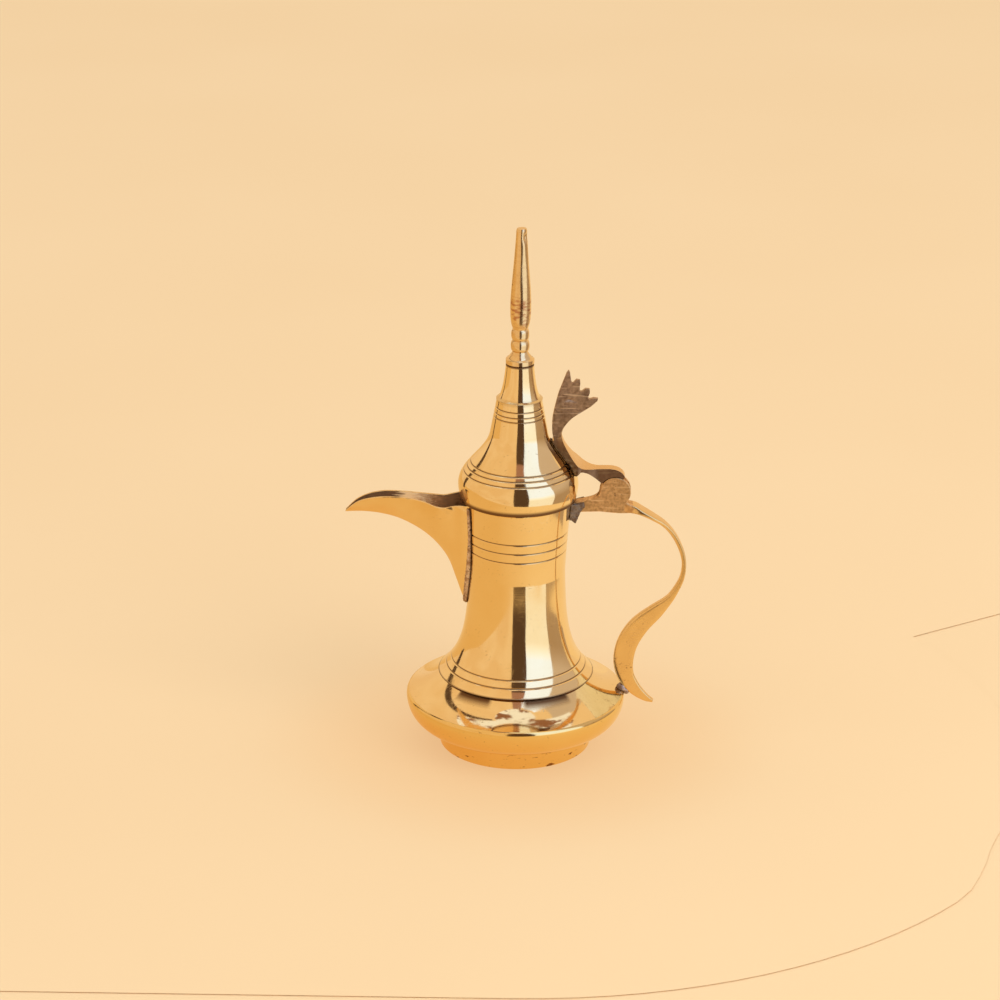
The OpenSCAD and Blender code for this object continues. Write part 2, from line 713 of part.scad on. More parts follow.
module lever_solder() {
    inset = 1.2;
    color(grey_solder) difference() {
        translate([0, 0, lid_z]) intersection() {
            plate(2 * saddle_half) polygon(concat(
                [[lid_r - 2.4, 12.9], [lid_r - 0.8, 13.3], [lid_r - 0.4, 14.1],
                 [lid_r - 1.2, 14.3]],
                [for (p = saddle_seat) p - [film, film]], [[dome_neck_r, 31]]));
            linear_extrude(40) polygon([[12, inset - 2.5], [20, inset - 2.8],
                [lid_r, inset - saddle_half], [lid_r, saddle_half - inset], [20, 2.8 - inset],
                [12, 2.5 - inset]]);
        }
        lid_solid(film);
    }
}

foot_disc();
foot_solder();
base_bowl();
belly_solder();
shoulder();
skirt_solder();
neck();
rim_ring();
spout();
spout_solder();
handle();
handle_top_solder();
handle_foot_solder();
hinge_pin();
lid_dome();
lid_collar();
lid_cone();
finial();
finial_nut();
thumb_lever();
lever_solder();
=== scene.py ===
import math

import bmesh
import bpy
import numpy as np
from mathutils import Matrix, Vector


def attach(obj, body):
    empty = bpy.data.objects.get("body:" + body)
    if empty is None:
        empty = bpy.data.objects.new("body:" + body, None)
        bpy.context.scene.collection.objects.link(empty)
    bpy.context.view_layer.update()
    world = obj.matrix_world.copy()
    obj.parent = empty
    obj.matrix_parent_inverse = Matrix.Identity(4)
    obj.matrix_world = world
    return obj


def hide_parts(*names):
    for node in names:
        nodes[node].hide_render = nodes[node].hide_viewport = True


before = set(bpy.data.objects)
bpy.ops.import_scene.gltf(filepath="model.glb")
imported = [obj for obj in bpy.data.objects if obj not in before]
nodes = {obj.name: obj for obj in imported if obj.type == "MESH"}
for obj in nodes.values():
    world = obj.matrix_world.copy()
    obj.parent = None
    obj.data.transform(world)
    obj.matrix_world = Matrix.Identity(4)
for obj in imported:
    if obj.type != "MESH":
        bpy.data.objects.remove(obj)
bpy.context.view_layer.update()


# ---- Where the pot is looked at from ----
# An eye 1.6 m in front of the table pot and three quarters of a metre up, as
# one stands over a tray. A long lens, so that the pot keeps its straight sides.

eye = (0.0, -1.5952, 0.75036)
tilt, turn, roll = 0.37220615, -0.00554425, 0.01180667
ahead = np.array([math.sin(turn) * math.cos(tilt), math.cos(turn) * math.cos(tilt), -math.sin(tilt)])
level = np.array([math.cos(turn), -math.sin(turn), 0.0])
upward = np.array([math.sin(turn) * math.sin(tilt), math.cos(turn) * math.sin(tilt), math.cos(tilt)])
right = math.cos(roll) * level + math.sin(roll) * upward
over = math.cos(roll) * upward - math.sin(roll) * level

lens = bpy.data.cameras.new("eye")
lens.lens = 126.0
lens.sensor_width = 36.0
lens.clip_start = 0.05
lens.clip_end = 60.0
camera = bpy.data.objects.new("eye", lens)
bpy.context.scene.collection.objects.link(camera)
bpy.context.scene.camera = camera
placed = np.identity(4)
placed[:3, 0], placed[:3, 1], placed[:3, 2], placed[:3, 3] = right, over, -ahead, eye
camera.matrix_world = Matrix(placed.tolist())
bpy.context.scene.view_settings.view_transform = "Standard"


# ---- Paper and room ----
# The pot stands on a sheet of warm cream paper. Round it stand a big white
# softbox on the right, cream and brown boards and a patchy white ceiling,
# because polished brass shows nothing but its room.

paper_cream = "#f5d5a6"
paper_front = -0.265
table_half = 3.0
room_radius, room_centre_z = 2.2, 0.08


def linear(hex_colour):
    """The sRGB hex colour as linear light: each channel through the sRGB curve."""
    srgb = np.array([int(hex_colour[i:i + 2], 16) for i in (1, 3, 5)]) / 255
    light = np.where(srgb <= 0.04045, srgb / 12.92, ((srgb + 0.055) / 1.055) ** 2.4)
    return (*light.tolist(), 1.0)


def add(tree, kind, inputs=None, **settings):
    """Adds one shader node: settings are its own properties, inputs its sockets.
    An input is a plain value, an output socket that is linked to it, or a node
    whose first live output is."""
    made = tree.nodes.new("ShaderNode" + kind)
    for name, value in settings.items():
        setattr(made, name, value)
    for socket, value in (inputs or {}).items():
        if isinstance(value, bpy.types.Node):
            value = next(output for output in value.outputs if output.enabled)
        if isinstance(value, bpy.types.NodeSocket):
            tree.links.new(value, made.inputs[socket])
        else:
            made.inputs[socket].default_value = value
    return made


def new_finish(name):
    """A material whose node tree holds only the place on the piece."""
    finish = bpy.data.materials.new(name)
    finish.use_nodes = True
    finish.node_tree.nodes.clear()
    return finish, finish.node_tree, add(finish.node_tree, "TexCoord").outputs["Object"]


def grid_faces(rows, columns, rows_close=False, columns_close=False):
    """Quads of a grid of rows x columns points, walked along a row first."""
    i = np.arange(rows if rows_close else rows - 1)[:, None]
    j = np.arange(columns if columns_close else columns - 1)[None, :]
    i2, j2 = (i + 1) % rows, (j + 1) % columns
    return np.stack(np.broadcast_arrays(i * columns + j, i * columns + j2, i2 * columns + j2,
                                        i2 * columns + j), -1).reshape(-1, 4)


def new_piece(name, points, faces, finishes, smooth=True):
    """A mesh object at the origin from an array of points and a list of faces."""
    mesh = bpy.data.meshes.new(name)
    mesh.from_pydata(np.asarray(points, float).reshape(-1, 3).tolist(), [],
                     [list(map(int, f)) for f in faces])
    mesh.polygons.foreach_set("use_smooth", [smooth] * len(mesh.polygons))
    for finish in finishes:
        mesh.materials.append(finish)
    mesh.update()
    piece = bpy.data.objects.new(name, mesh)
    bpy.context.scene.collection.objects.link(piece)
    return piece


def glow(name, colour, strength=1.0, top=None, other=None, folds=(1.1, 0.4, 0.6)):
    """A board that gives off its colour. It may change over a span of height to
    a top of (colour, strength, low, high), or be folded into another tone where
    a noise of the given scale rises from one value to another."""
    finish, tree, place = new_finish(name)
    shine = {"Color": linear(colour), "Strength": strength}
    if top is not None:
        height = add(tree, "SeparateXYZ", {"Vector": place}).outputs["Z"]
        rise = add(tree, "MapRange", {"Value": height, "From Min": top[2], "From Max": top[3]})
        shine["Color"] = add(tree, "Mix", {"Factor": rise, "A": linear(colour), "B": linear(top[0])},
                             data_type="RGBA")
        shine["Strength"] = add(tree, "Math", {0: rise, 1: top[1] - strength, 2: strength},
                                operation="MULTIPLY_ADD")
    if other is not None:
        fold = add(tree, "TexNoise", {"Vector": place, "Scale": folds[0], "Detail": 3.0})
        fold = add(tree, "MapRange", {"Value": fold, "From Min": folds[1], "From Max": folds[2]})
        shine["Color"] = add(tree, "Mix", {"Factor": fold, "A": linear(colour), "B": linear(other)},
                             data_type="RGBA")
    lamp = add(tree, "Emission", shine)
    add(tree, "OutputMaterial", {"Surface": lamp})
    return finish


def board(name, from_deg, to_deg, from_el, to_el, finish, radius=room_radius):
    """A board bent round and over the table, part of a sphere: x and -y are
    radius * cos(elevation) * sin and cos(azimuth), z is radius * sin(elevation),
    azimuth counted from the viewer to the right."""
    azimuth = np.radians(np.linspace(from_deg, to_deg, 25))[None, :]
    rise = np.radians(np.linspace(from_el, to_el, 13))[:, None]
    points = radius * np.stack(np.broadcast_arrays(
        np.cos(rise) * np.sin(azimuth), -np.cos(rise) * np.cos(azimuth), np.sin(rise)), -1)
    piece = new_piece(name, points + [0, 0, room_centre_z], grid_faces(13, 25)[:, ::-1], [finish])
    piece.visible_camera = False
    piece.visible_diffuse = False
    piece.visible_shadow = False
    return piece


# Cream paper: matt, a little cloudy. Round the foot a pool of light is painted on it as emission, standing
# in for the light the brass throws back; glossy rays see painted light on it, orange at the foot, darker to
# the left and paler to the right, which the brass mirrors.
paper, tree, place = new_finish("cream_paper_painted_glow")
cloud = add(tree, "TexNoise", {"Vector": place, "Scale": 3.0, "Detail": 2.0})
tone = add(tree, "Mix", {"Factor": cloud, "A": linear("#f4d2a0"), "B": linear("#f8d8a8")}, data_type="RGBA")
away = add(tree, "VectorMath", {0: place}, operation="LENGTH")
matt = add(tree, "BsdfDiffuse", {"Color": tone})
# Painted light for glossy rays: darker orange to the left, paler to the right, and an orange glow close to
# the foot
across = add(tree, "SeparateXYZ", {"Vector": place}).outputs["X"]
far = add(tree, "MapRange", {"Value": across, "From Min": -0.16, "From Max": 0.14})
far = add(tree, "Mix", {"Factor": far, "A": linear("#ecbc74"), "B": linear("#ffdca6")}, data_type="RGBA")
close = add(tree, "MapRange", {"Value": across, "From Min": -0.06, "From Max": 0.07})
close = add(tree, "Mix", {"Factor": close, "A": linear("#f2b060"), "B": linear("#ffd294")},
            data_type="RGBA")
painted_foot_glow_share = add(tree, "MapRange", {"Value": away, "From Min": 0.1, "From Max": 0.05})
painted_mirrored_light = add(tree, "Mix", {"Factor": painted_foot_glow_share, "A": far, "B": close}, data_type="RGBA")
glossy = add(tree, "LightPath").outputs["Is Glossy Ray"]
painted_glow_colour = add(tree, "Mix", {"Factor": glossy, "A": linear("#f8cd98"), "B": painted_mirrored_light}, data_type="RGBA")
lamp = add(tree, "Emission", {"Color": painted_glow_colour})
# Painted pool of light round the foot: within 0.15 m the paper gives off light, to the camera as well
painted_glow_share = add(tree, "MapRange", {"Value": away, "From Min": 0.15, "From Max": 0.05, "To Max": 0.7},
          interpolation_type="SMOOTHERSTEP")
part = add(tree, "Math", {0: glossy, 1: 0.85}, operation="MULTIPLY")
part = add(tree, "Math", {0: part, 1: painted_glow_share}, operation="MAXIMUM")
both = add(tree, "MixShader", {0: part, 1: matt, 2: lamp})
add(tree, "OutputMaterial", {"Surface": both})

# The paper that the brass mirrors ends in a bow round the pot, straight in front
# and 5 % nearer from 64 degrees on; the plain one under it runs on to the viewer
bow_end, nearer = 122, 0.05
bow = np.linspace(0, bow_end, 40)
reach = paper_front * (1 - nearer * np.clip((bow - 52) / 12, 0, 1))
edge = reach[:, None] * np.stack([-np.sin(np.radians(bow)), np.cos(np.radians(bow))], 1)
front = np.concatenate([[[-table_half, table_half], [-table_half, paper_front]], edge,
                        [[table_half, 1.95], [table_half, table_half]]])
paper_sheet = new_piece("paper", np.column_stack([front, np.zeros(len(front))]),
                        [list(range(len(front)))], [paper], smooth=False)
corners = np.array([(-1, -4 / 3, 0), (1, -4 / 3, 0), (1, 1, 0), (-1, 1, 0)]) * table_half - [0, 0, 0.0004]
near_table = new_piece("near_table", corners, [(0, 1, 2, 3)], [paper], smooth=False)
near_table.visible_glossy = False

world = bpy.data.worlds.new("room")
bpy.context.scene.world = world
world.use_nodes = True
world.node_tree.nodes.clear()
air = world.node_tree
ray = add(air, "LightPath")
far_wall = add(air, "Background", {"Color": linear(paper_cream), "Strength": 1.0})
other_walls = add(air, "Background", {"Color": linear("#fdfcff"), "Strength": 0.96})
seen = add(air, "MixShader", {0: ray.outputs["Is Camera Ray"], 1: other_walls, 2: far_wall})
add(air, "OutputWorld", {"Surface": seen})

soft_lamp = bpy.data.lights.new("soft_lamp", "AREA")
soft_lamp.shape = "RECTANGLE"
soft_lamp.size, soft_lamp.size_y, soft_lamp.energy = 1.5, 1.5, 13.0
soft_lamp.color = (1.0, 0.985, 0.98)
lamp = bpy.data.objects.new("soft_lamp", soft_lamp)
bpy.context.scene.collection.objects.link(lamp)
lamp_from, lamp_to = Vector((1.35, -1.25, 1.25)), Vector((0.0, 0.0, 0.05))
lamp.matrix_world = Matrix.LocRotScale(lamp_from, (lamp_to - lamp_from).to_track_quat("-Z", "Y"), None)
lamp.visible_glossy = False
lamp.visible_camera = False

cream_board = glow("cream_board", "#f9d8ac", other="#f3cd9c")
backdrop = glow("backdrop_paper", "#f8d6a8")
dark_gap = glow("dark_gap", "#5a4434")
brown_board = glow("brown_board", "#b69a7e", top=("#d4c0b2", 1.0, -0.1, 0.8))
roof_board = glow("roof_board", "#ab7f6e")
softbox = glow("softbox", "#fffcf8", 1.06, top=("#c6d8ff", 1.85, -0.1, 0.5))
white_roof = glow("white_roof", "#fafaff", 1.06, other="#94664c", folds=(3.3, 0.51, 0.55))
near = room_radius - 0.05
board("left_board", -180, -8, -40, 78, cream_board)
board("right_board", -8, 180, -40, 78, backdrop, room_radius + 0.05)
board("doorway", -8.5, 20.5, -40, 58, dark_gap)
board("softbox", 20.5, 72, -40, 76, softbox)
board("roof_beam", -22, 20.5, 58, 78, roof_board)
board("brown_board", 72, 122, -40, 68, brown_board)
board("left_gap_low", -125, -118.5, -14, 14, dark_gap, 0.75)
board("left_gap", -126.5, -118.8, 4, 76, dark_gap, near)
board("roof", -180, 180, 78, 90, white_roof)
board("roof_back_right", 119, 180, 56, 78, white_roof, near + 0.02)
board("roof_back_left", -180, -128, 56, 78, white_roof, near + 0.02)


# ---- Base bowl and floor ----
# Foot ring and dished bowl, spun in one from sheet brass, turned in to a lip at
# its widest ring and buffed: a clear mirror with faint rings from the spinning
# tool, warmer where the buff reached less. A flat disc soldered in is the floor.

mm = 0.001
wall = 1.2
foot_r, foot_h, foot_flare = 37.5, 10.5, 0.8
belly_r, lip_h, lip_in = 54.3, 2.7, 1.3
belly_z = foot_h + 14
crease_z = belly_z + lip_h
crease_r = belly_r - lip_in


def bezier(a, b, c, d, n=24):
    """Points on a cubic Bezier curve: the four corners weighted by the cubic
    terms of t and 1 - t."""
    t = np.linspace(0, 1, n + 1)[:, None]
    u = 1 - t
    a, b, c, d = (np.array(p, float) for p in (a, b, c, d))
    return u ** 3 * a + 3 * u * u * t * b + 3 * u * t * t * c + t ** 3 * d


def evenly(path, gap):
    """The path walked again in even steps of about gap, corners kept near."""
    path = np.asarray(path, float)
    run = np.concatenate([[0], np.cumsum(np.hypot(*np.diff(path, axis=0).T))])
    at = np.linspace(0, run[-1], max(2, int(run[-1] / gap) + 1))
    return np.stack([np.interp(at, run, path[:, k]) for k in (0, 1)], 1)


def beside(path, d):
    """The path moved to its left by d, square to its own direction."""
    step = np.gradient(path, axis=0)
    step /= np.hypot(step[:, 0], step[:, 1])[:, None]
    return path + d * np.stack([-step[:, 1], step[:, 0]], 1)


def hand_spun(r, z, angle, depth):
    """Radius with the slight unevenness of hand spinning: a few long waves
    round the axis and along it, depth millimetres each way."""
    waves = [(2, 0.09, 0.4), (3, -0.13, 2.1), (5, 0.21, 4.0), (7, -0.31, 1.3), (9, 0.17, 5.2)]
    ripple = sum(np.sin(k * angle + c * z + p) / (1 + 0.25 * k) for k, c, p in waves)
    return r + depth * ripple


def store_darkening(piece, amount):
    """Stores on each point how far its colour is darkened, 0 to 1: darker in grooves, and painted shade and
    painted dark reflection along rims, joints and where parts touch.
    """
    darkening = piece.data.attributes.new("grime_and_shade", "FLOAT", "POINT")
    darkening.data.foreach_set("value", np.asarray(amount, np.float32).ravel())


def turned(name, profile, finishes, rounds=256, depth=0.02, closed=True, darkening=None):
    """A surface of revolution: point (r, z) of the profile at angle a goes to
    (r cos a, r sin a, z), r with a trace of hand spinning. A closed profile is a
    shell walked up its outside and down its inside; an open one ends on the axis."""
    darkening = np.zeros(len(profile)) if darkening is None else darkening
    darkening = np.broadcast_to(darkening.reshape(len(profile), -1), (len(profile), rounds))
    angle = np.linspace(0, 2 * math.pi, rounds, endpoint=False)[None, :]
    r, z = profile[:, :1], profile[:, 1:]
    uneven = np.where(r > 0.01, hand_spun(r, z, angle, depth), 0.0)
    points = mm * np.stack(np.broadcast_arrays(uneven * np.cos(angle), uneven * np.sin(angle), z), -1)
    faces = grid_faces(len(profile), rounds, closed, True)
    if closed:
        piece = new_piece(name, points, faces, finishes)
        store_darkening(piece, darkening)
        return piece
    inner = faces[rounds:-rounds] - (rounds - 1)
    ring = np.arange(rounds)
    first, last = ring + 1, ring + 1 + (len(profile) - 3) * rounds
    tip = 1 + (len(profile) - 2) * rounds
    points = np.concatenate([points[0, :1], points[1:-1].reshape(-1, 3), points[-1, :1]])
    caps = [(0, b, a) for a, b in zip(first, np.roll(first, -1))]
    caps += [(a, b, tip) for a, b in zip(last, np.roll(last, -1))]
    piece = new_piece(name, points, inner.tolist() + caps, finishes)
    store_darkening(piece, np.concatenate([darkening[0, :1], darkening[1:-1].ravel(), darkening[-1, :1]]))
    return piece


def crisp(piece, degrees=32):
    """Keeps edges sharper than this angle sharp in the shading."""
    piece.data.set_sharp_from_angle(angle=math.radians(degrees))


def shell_profile(outer, thick=wall):
    """Outside walked up, then the inside, thick away, walked down between the
    same two heights."""
    inside = beside(outer, thick)
    low, high = outer[0, 1] + 0.05, outer[-1, 1] - 0.05
    inside[0, 1], inside[-1, 1] = outer[0, 1], outer[-1, 1]
    middle = inside[1:-1][(inside[1:-1, 1] > low) & (inside[1:-1, 1] < high)]
    return np.concatenate([outer, inside[-1:], middle[::-1], inside[:1]])


buffed_hairs = (((0.5, 0.3, 0.9), (60, 420, 60)), ((-0.8, 0.6, 0.2), (420, 50, 90)))


def polished_brass(name, fresh, warm, rough, lines=0.6, scratch=0.5, specks=0.4, stain=None,
                   hairs=buffed_hairs, metal=1.0):
    """Spun and buffed sheet brass. Colour drifts between fresh and warm over
    about 15 mm; fine rings of the spinning tool lie level; hairline scratches
    run every way; small brown specks sit in patches."""
    finish, tree, place = new_finish(name)
    drift = add(tree, "TexNoise", {"Vector": place, "Scale": 65.0, "Detail": 3.0})
    colour = add(tree, "Mix", {"Factor": drift, "A": linear(fresh), "B": linear(warm)}, data_type="RGBA")
    # Rings 0.5 mm apart: real ones are finer, drawn as coarse as still shows
    flat = add(tree, "Mapping", {"Vector": place, "Scale": (12, 12, 2000)})
    rings = add(tree, "TexNoise", {"Vector": flat, "Scale": 1.0, "Detail": 2.0})
    # Hairlines: where a stretched noise passes through its middle value
    hair = None
    for turned_by, stretch in hairs:
        lean = add(tree, "Mapping", {"Vector": place, "Rotation": turned_by, "Scale": stretch})
        field = add(tree, "TexNoise", {"Vector": lean, "Scale": 1.0, "Detail": 1.0})
        off = add(tree, "Math", {0: field, 1: 0.5}, operation="SUBTRACT")
        away = add(tree, "Math", {0: off}, operation="ABSOLUTE")
        line = add(tree, "MapRange", {"Value": away, "From Min": 0.012, "From Max": 0.0})
        hair = line if hair is None else add(tree, "Math", {0: hair, 1: line}, operation="MAXIMUM")
    patch = add(tree, "TexNoise", {"Vector": place, "Scale": 90.0, "Detail": 1.0})
    worn = add(tree, "MapRange", {"Value": patch, "From Min": 0.45, "From Max": 0.65})
    hair = add(tree, "Math", {0: hair, 1: worn}, operation="MULTIPLY")
    # Specks of tarnish about 0.8 mm across, only inside the worn patches
    dots = add(tree, "TexNoise", {"Vector": place, "Scale": 900.0, "Detail": 2.0})
    dot = add(tree, "MapRange", {"Value": dots, "From Min": 0.66, "From Max": 0.72})
    dot = add(tree, "Math", {0: dot, 1: worn}, operation="MULTIPLY")
    dot = add(tree, "Math", {0: dot, 1: specks}, operation="MULTIPLY")
    colour = add(tree, "Mix", {"Factor": dot, "A": colour, "B": linear("#7a4a22")}, data_type="RGBA")
    # Darker brown and duller where the stored share is high: in grooves, and painted shade and painted
    # reflection along rims and joints
    grime_and_shade = add(tree, "Attribute", attribute_name="grime_and_shade").outputs["Fac"]
    colour = add(tree, "Mix", {"Factor": grime_and_shade, "A": colour, "B": linear("#5c3212")}, data_type="RGBA")
    if stain is not None:
        colour = stain(tree, place, colour)
    gloss = add(tree, "MapRange", {"Value": drift, "From Min": 0.3, "From Max": 0.7, "To Min": rough * 0.75,
                                   "To Max": rough * 1.35})
    gloss = add(tree, "Math", {0: hair, 1: 0.12, 2: gloss}, operation="MULTIPLY_ADD")
    gloss = add(tree, "Math", {0: dot, 1: 0.3, 2: gloss}, operation="MULTIPLY_ADD")
    gloss = add(tree, "Math", {0: grime_and_shade, 1: 0.4, 2: gloss}, operation="MULTIPLY_ADD")
    relief = add(tree, "Bump", {"Height": rings, "Strength": lines, "Distance": 3e-6})
    relief = add(tree, "Bump", {"Height": hair, "Strength": scratch, "Distance": 4e-6, "Normal": relief},
                 invert=True)
    skin = add(tree, "BsdfPrincipled", {"Base Color": colour, "Metallic": metal, "Roughness": gloss,
                                        "Normal": relief})
    add(tree, "OutputMaterial", {"Surface": skin})
    return finish


def blotched(tree, place, colour, tint, stretch, span, share, detail=4.0, turned_by=(0, 0, 0)):
    """Goes over to a tint where a noise on the turned and stretched place passes
    through a span of values, as far as share lets it."""
    wide = add(tree, "Mapping", {"Vector": place, "Rotation": turned_by, "Scale": stretch})
    patch = add(tree, "TexNoise", {"Vector": wide, "Scale": 1.0, "Detail": detail})
    patch = add(tree, "MapRange", {"Value": patch, "From Min": span[0], "From Max": span[1]})
    patch = add(tree, "Math", {0: patch, 1: share}, operation="MULTIPLY")
    return add(tree, "Mix", {"Factor": patch, "A": colour, "B": linear(tint)}, data_type="RGBA")


def foot_knocks(tree, place, colour):
    """Brown knocks of 1 to 3 mm round the foot ring, where the pot is set down."""
    height = add(tree, "SeparateXYZ", {"Vector": place}).outputs["Z"]
    low = add(tree, "MapRange", {"Value": height, "From Min": 0.012, "From Max": 0.006, "To Max": 0.9})
    return blotched(tree, place, colour, "#7c4c20", (190, 190, 420), (0.62, 0.68), low)


bowl_brass = polished_brass("buffed_bowl_brass", "#f3d592", "#eecb82", 0.10, stain=foot_knocks)

bowl_outside = evenly(np.concatenate([
    [[foot_r, 0], [foot_r + foot_flare, foot_h - 1]],
    bezier([foot_r + foot_flare + 0.6, foot_h], [belly_r - 6.3, foot_h],
           [belly_r - 0.5, foot_h + 5], [belly_r, belly_z], 40),
    [[belly_r - 0.15, belly_z + lip_h * 0.5], [belly_r - 0.55, belly_z + lip_h * 0.82],
     [crease_r, crease_z]]]), 0.45)
base_bowl = turned("spun_base_bowl", shell_profile(bowl_outside), [bowl_brass])
crisp(base_bowl)
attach(base_bowl, "pot")
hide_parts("base_bowl")


def dress(name, finish):
    """Gives a carried-over piece its finish."""
    nodes[name].data.materials[0] = finish


dress("foot_disc", bowl_brass)


# ---- Shoulder ----
# A low cone of sheet brass from the bowl's lip up into the neck, soldered in.
# It looks straight up, so it shows the ceiling and the neck's own foot.

film = 0.05
skirt_z = crease_z + 10.6
skirt_r, neck_r, flare_len = 38.5, 23.4, 13.7
neck_h, waist_h, mouth_flare = 90.7, 54.0, 2.8
collar_up = 3.5


def neck_outer(z):
    """The neck's radius: a bell flare that falls off with height, and a soft
    one that opens again towards the mouth."""
    z = np.asarray(z, float)
    return (neck_r + (skirt_r - neck_r) * np.exp(-(z - skirt_z) / flare_len)
            + mouth_flare * (np.clip(z - skirt_z - waist_h, 0, None) / (neck_h - waist_h)) ** 1.2)


def neck_inner(z):
    """The outside less the wall, measured square to the surface."""
    slope = (neck_outer(z + 0.1) - neck_outer(z - 0.1)) / 0.2
    return neck_outer(z) - wall * np.sqrt(1 + slope ** 2)


def darkening_near(profile, heights, reach=0.3, rim=None, rim_reach=1.0):
    """How dark a profile is made: 0.85 in a groove's middle down to 0 at its lips, and 0.9 or less along a
    rim, which is painted shade."""
    away = np.abs(profile[:, 1:] - np.asarray(heights, float)[None, :])
    darkening = np.clip(0.85 - 0.85 * (away / reach) ** 2, 0, 1).max(1, initial=0)
    if rim is not None:
        darkening = np.maximum(darkening, np.clip(1.6 * (1 - np.abs(profile[:, 1] - rim) / rim_reach), 0, 0.9))
    return darkening


sheet_brass = polished_brass("buffed_sheet_brass", "#f8e2b4", "#f3d69c", 0.07)
collar = np.linspace(skirt_z, skirt_z + collar_up, 9)[1:]
shoulder_outside = evenly(np.concatenate([
    bezier([crease_r, crease_z], [crease_r - 6, crease_z + 2.3], [skirt_r + 3.5, skirt_z - 5.2],
           [neck_inner(skirt_z) - 3 * film, skirt_z - film], 40),
    np.stack([neck_inner(collar) - 3 * film, collar], 1)]), 0.45) + [0, film]
shoulder_profile = shell_profile(shoulder_outside)

# Painted dark reflection: two dark patches under the skirt at the front, and painted shade in a thin line
# along the skirt's edge
angle = np.linspace(0, 360, 256, endpoint=False)
painted_dark_reflection = sum(np.clip(1.3 - ((angle - middle) / half) ** 8, 0, 1) for middle, half in ((238, 14), (294, 18)))
painted_dark_reflection = darkening_near(shoulder_profile, [], rim=skirt_z, rim_reach=4.6)[:, None] * painted_dark_reflection[None, :]
skirt_painted_shade = darkening_near(shoulder_profile, [], rim=skirt_z, rim_reach=1.1)[:, None]
shoulder = turned("spun_shoulder", shoulder_profile, [sheet_brass], darkening=np.maximum(painted_dark_reflection, skirt_painted_shade))
crisp(shoulder)
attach(shoulder, "pot")
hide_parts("shoulder")


# ---- Neck ----
# One tall bell of sheet brass with its skirt lapped over the shoulder. Five
# grooves are turned in it, two on the skirt and three under the mouth.

groove_r = 0.4
mouth_z = skirt_z + neck_h
neck_grooves = [skirt_z + 3.9, skirt_z + 7.3] + [mouth_z - 15.1 - i * 4.85 for i in range(3)]


def cut_grooves(path, heights, size=groove_r):
    """A turned groove pulls each point nearer than size to its middle towards
    the axis, by the height of a circle there."""
    path = path.copy()
    for z in heights:
        off = (path[:, 1] - z) / size
        path[:, 0] -= size * np.sqrt(np.clip(1 - off ** 2, 0, 1))
    return path


levels = np.unique(np.concatenate([
    skirt_z + np.linspace(0, neck_h, 150)] + [z + np.linspace(-0.55, 0.55, 15) for z in neck_grooves]))
neck_outside = cut_grooves(np.stack([neck_outer(levels), levels], 1), neck_grooves)
plain = np.linspace(mouth_z, skirt_z, 90)
neck_profile = np.concatenate([neck_outside, np.stack([neck_inner(plain), plain], 1)])
# Darker in the grooves' middles, and painted shade along the skirt's lower edge
neck_grooves_and_shade = darkening_near(neck_profile, neck_grooves, rim=skirt_z, rim_reach=0.5)
neck = turned("spun_neck", neck_profile, [sheet_brass], darkening=neck_grooves_and_shade)


def outward(piece, merge=0.0, flatten=0.0):
    """Merges doubles, joins faces flatter to each other than an angle, and
    turns all the faces of a closed solid outwards."""
    work = bmesh.new()
    work.from_mesh(piece.data)
    if merge:
        bmesh.ops.remove_doubles(work, verts=work.verts, dist=merge * mm)
    if flatten:
        bmesh.ops.dissolve_limit(work, angle_limit=math.radians(flatten), verts=work.verts, edges=work.edges)
    bmesh.ops.recalc_face_normals(work, faces=work.faces)
    work.to_mesh(piece.data)
    work.free()
    piece.data.update()


def combine(piece, tool, how="DIFFERENCE"):
    """Cuts the tool's solid out of the piece or joins it to it, and drops the tool."""
    outward(tool)
    knife = piece.modifiers.new("knife", "BOOLEAN")
    knife.operation, knife.solver, knife.object, knife.use_self = how, "EXACT", tool, True
    bake(piece)
    bpy.data.objects.remove(tool)


def bake(piece):
    """Applies the piece's modifiers to its mesh."""
    bpy.context.view_layer.update()
    mesh = bpy.data.meshes.new_from_object(piece.evaluated_get(bpy.context.evaluated_depsgraph_get()))
    piece.modifiers.clear()
    piece.data = mesh


def prism(name, outline, low, high):
    """A straight solid between two levels x = low and x = high over an outline
    of (z, y) points walked anticlockwise."""
    flat = np.asarray(outline, float)
    n = len(flat)
    ends = [np.stack([np.full(n, x), flat[:, 1], flat[:, 0]], 1) for x in (low, high)]
    i = np.arange(n)
    sides = np.stack([i, (i + 1) % n, (i + 1) % n + n, i + n], 1).tolist()
    return new_piece(name, mm * np.concatenate(ends), sides + [i[::-1].tolist(), (i + n).tolist()], [])


# The slot through which the coffee passes into the beak: a tall V with a round foot
slot_half, slot_top, slot_h = 6.0, mouth_z - 8.0, 36.0
turn_in = np.radians(np.linspace(90, 270, 9))
foot_arc = np.stack([slot_top - slot_h + 1.5 * np.cos(turn_in), 1.5 * np.sin(turn_in)], 1)
slot_outline = np.concatenate([[[slot_top, -slot_half], [slot_top, slot_half], [slot_top - 2, slot_half]],
                               foot_arc, [[slot_top - 2, -slot_half]]])
combine(neck, prism("slot_cutter", slot_outline, -neck_r - 6, -neck_r + 4))
crisp(neck)
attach(neck, "pot")
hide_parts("neck")


# ---- Rim ring ----
# A thin turned ring that stiffens the mouth. The lid's edge laps over it by a
# little and hides all but its side.

rim_h, lid_lap = 1.5, 0.4
lid_z = mouth_z + rim_h - lid_lap
dress("rim_ring", sheet_brass)


# ---- Spout ----
# One sheet of brass folded and hammered over a stake into an open beak, filed
# along its rim. The outside is polished; the trough is brown with coffee and
# flux towards the neck, where the buff could not reach.

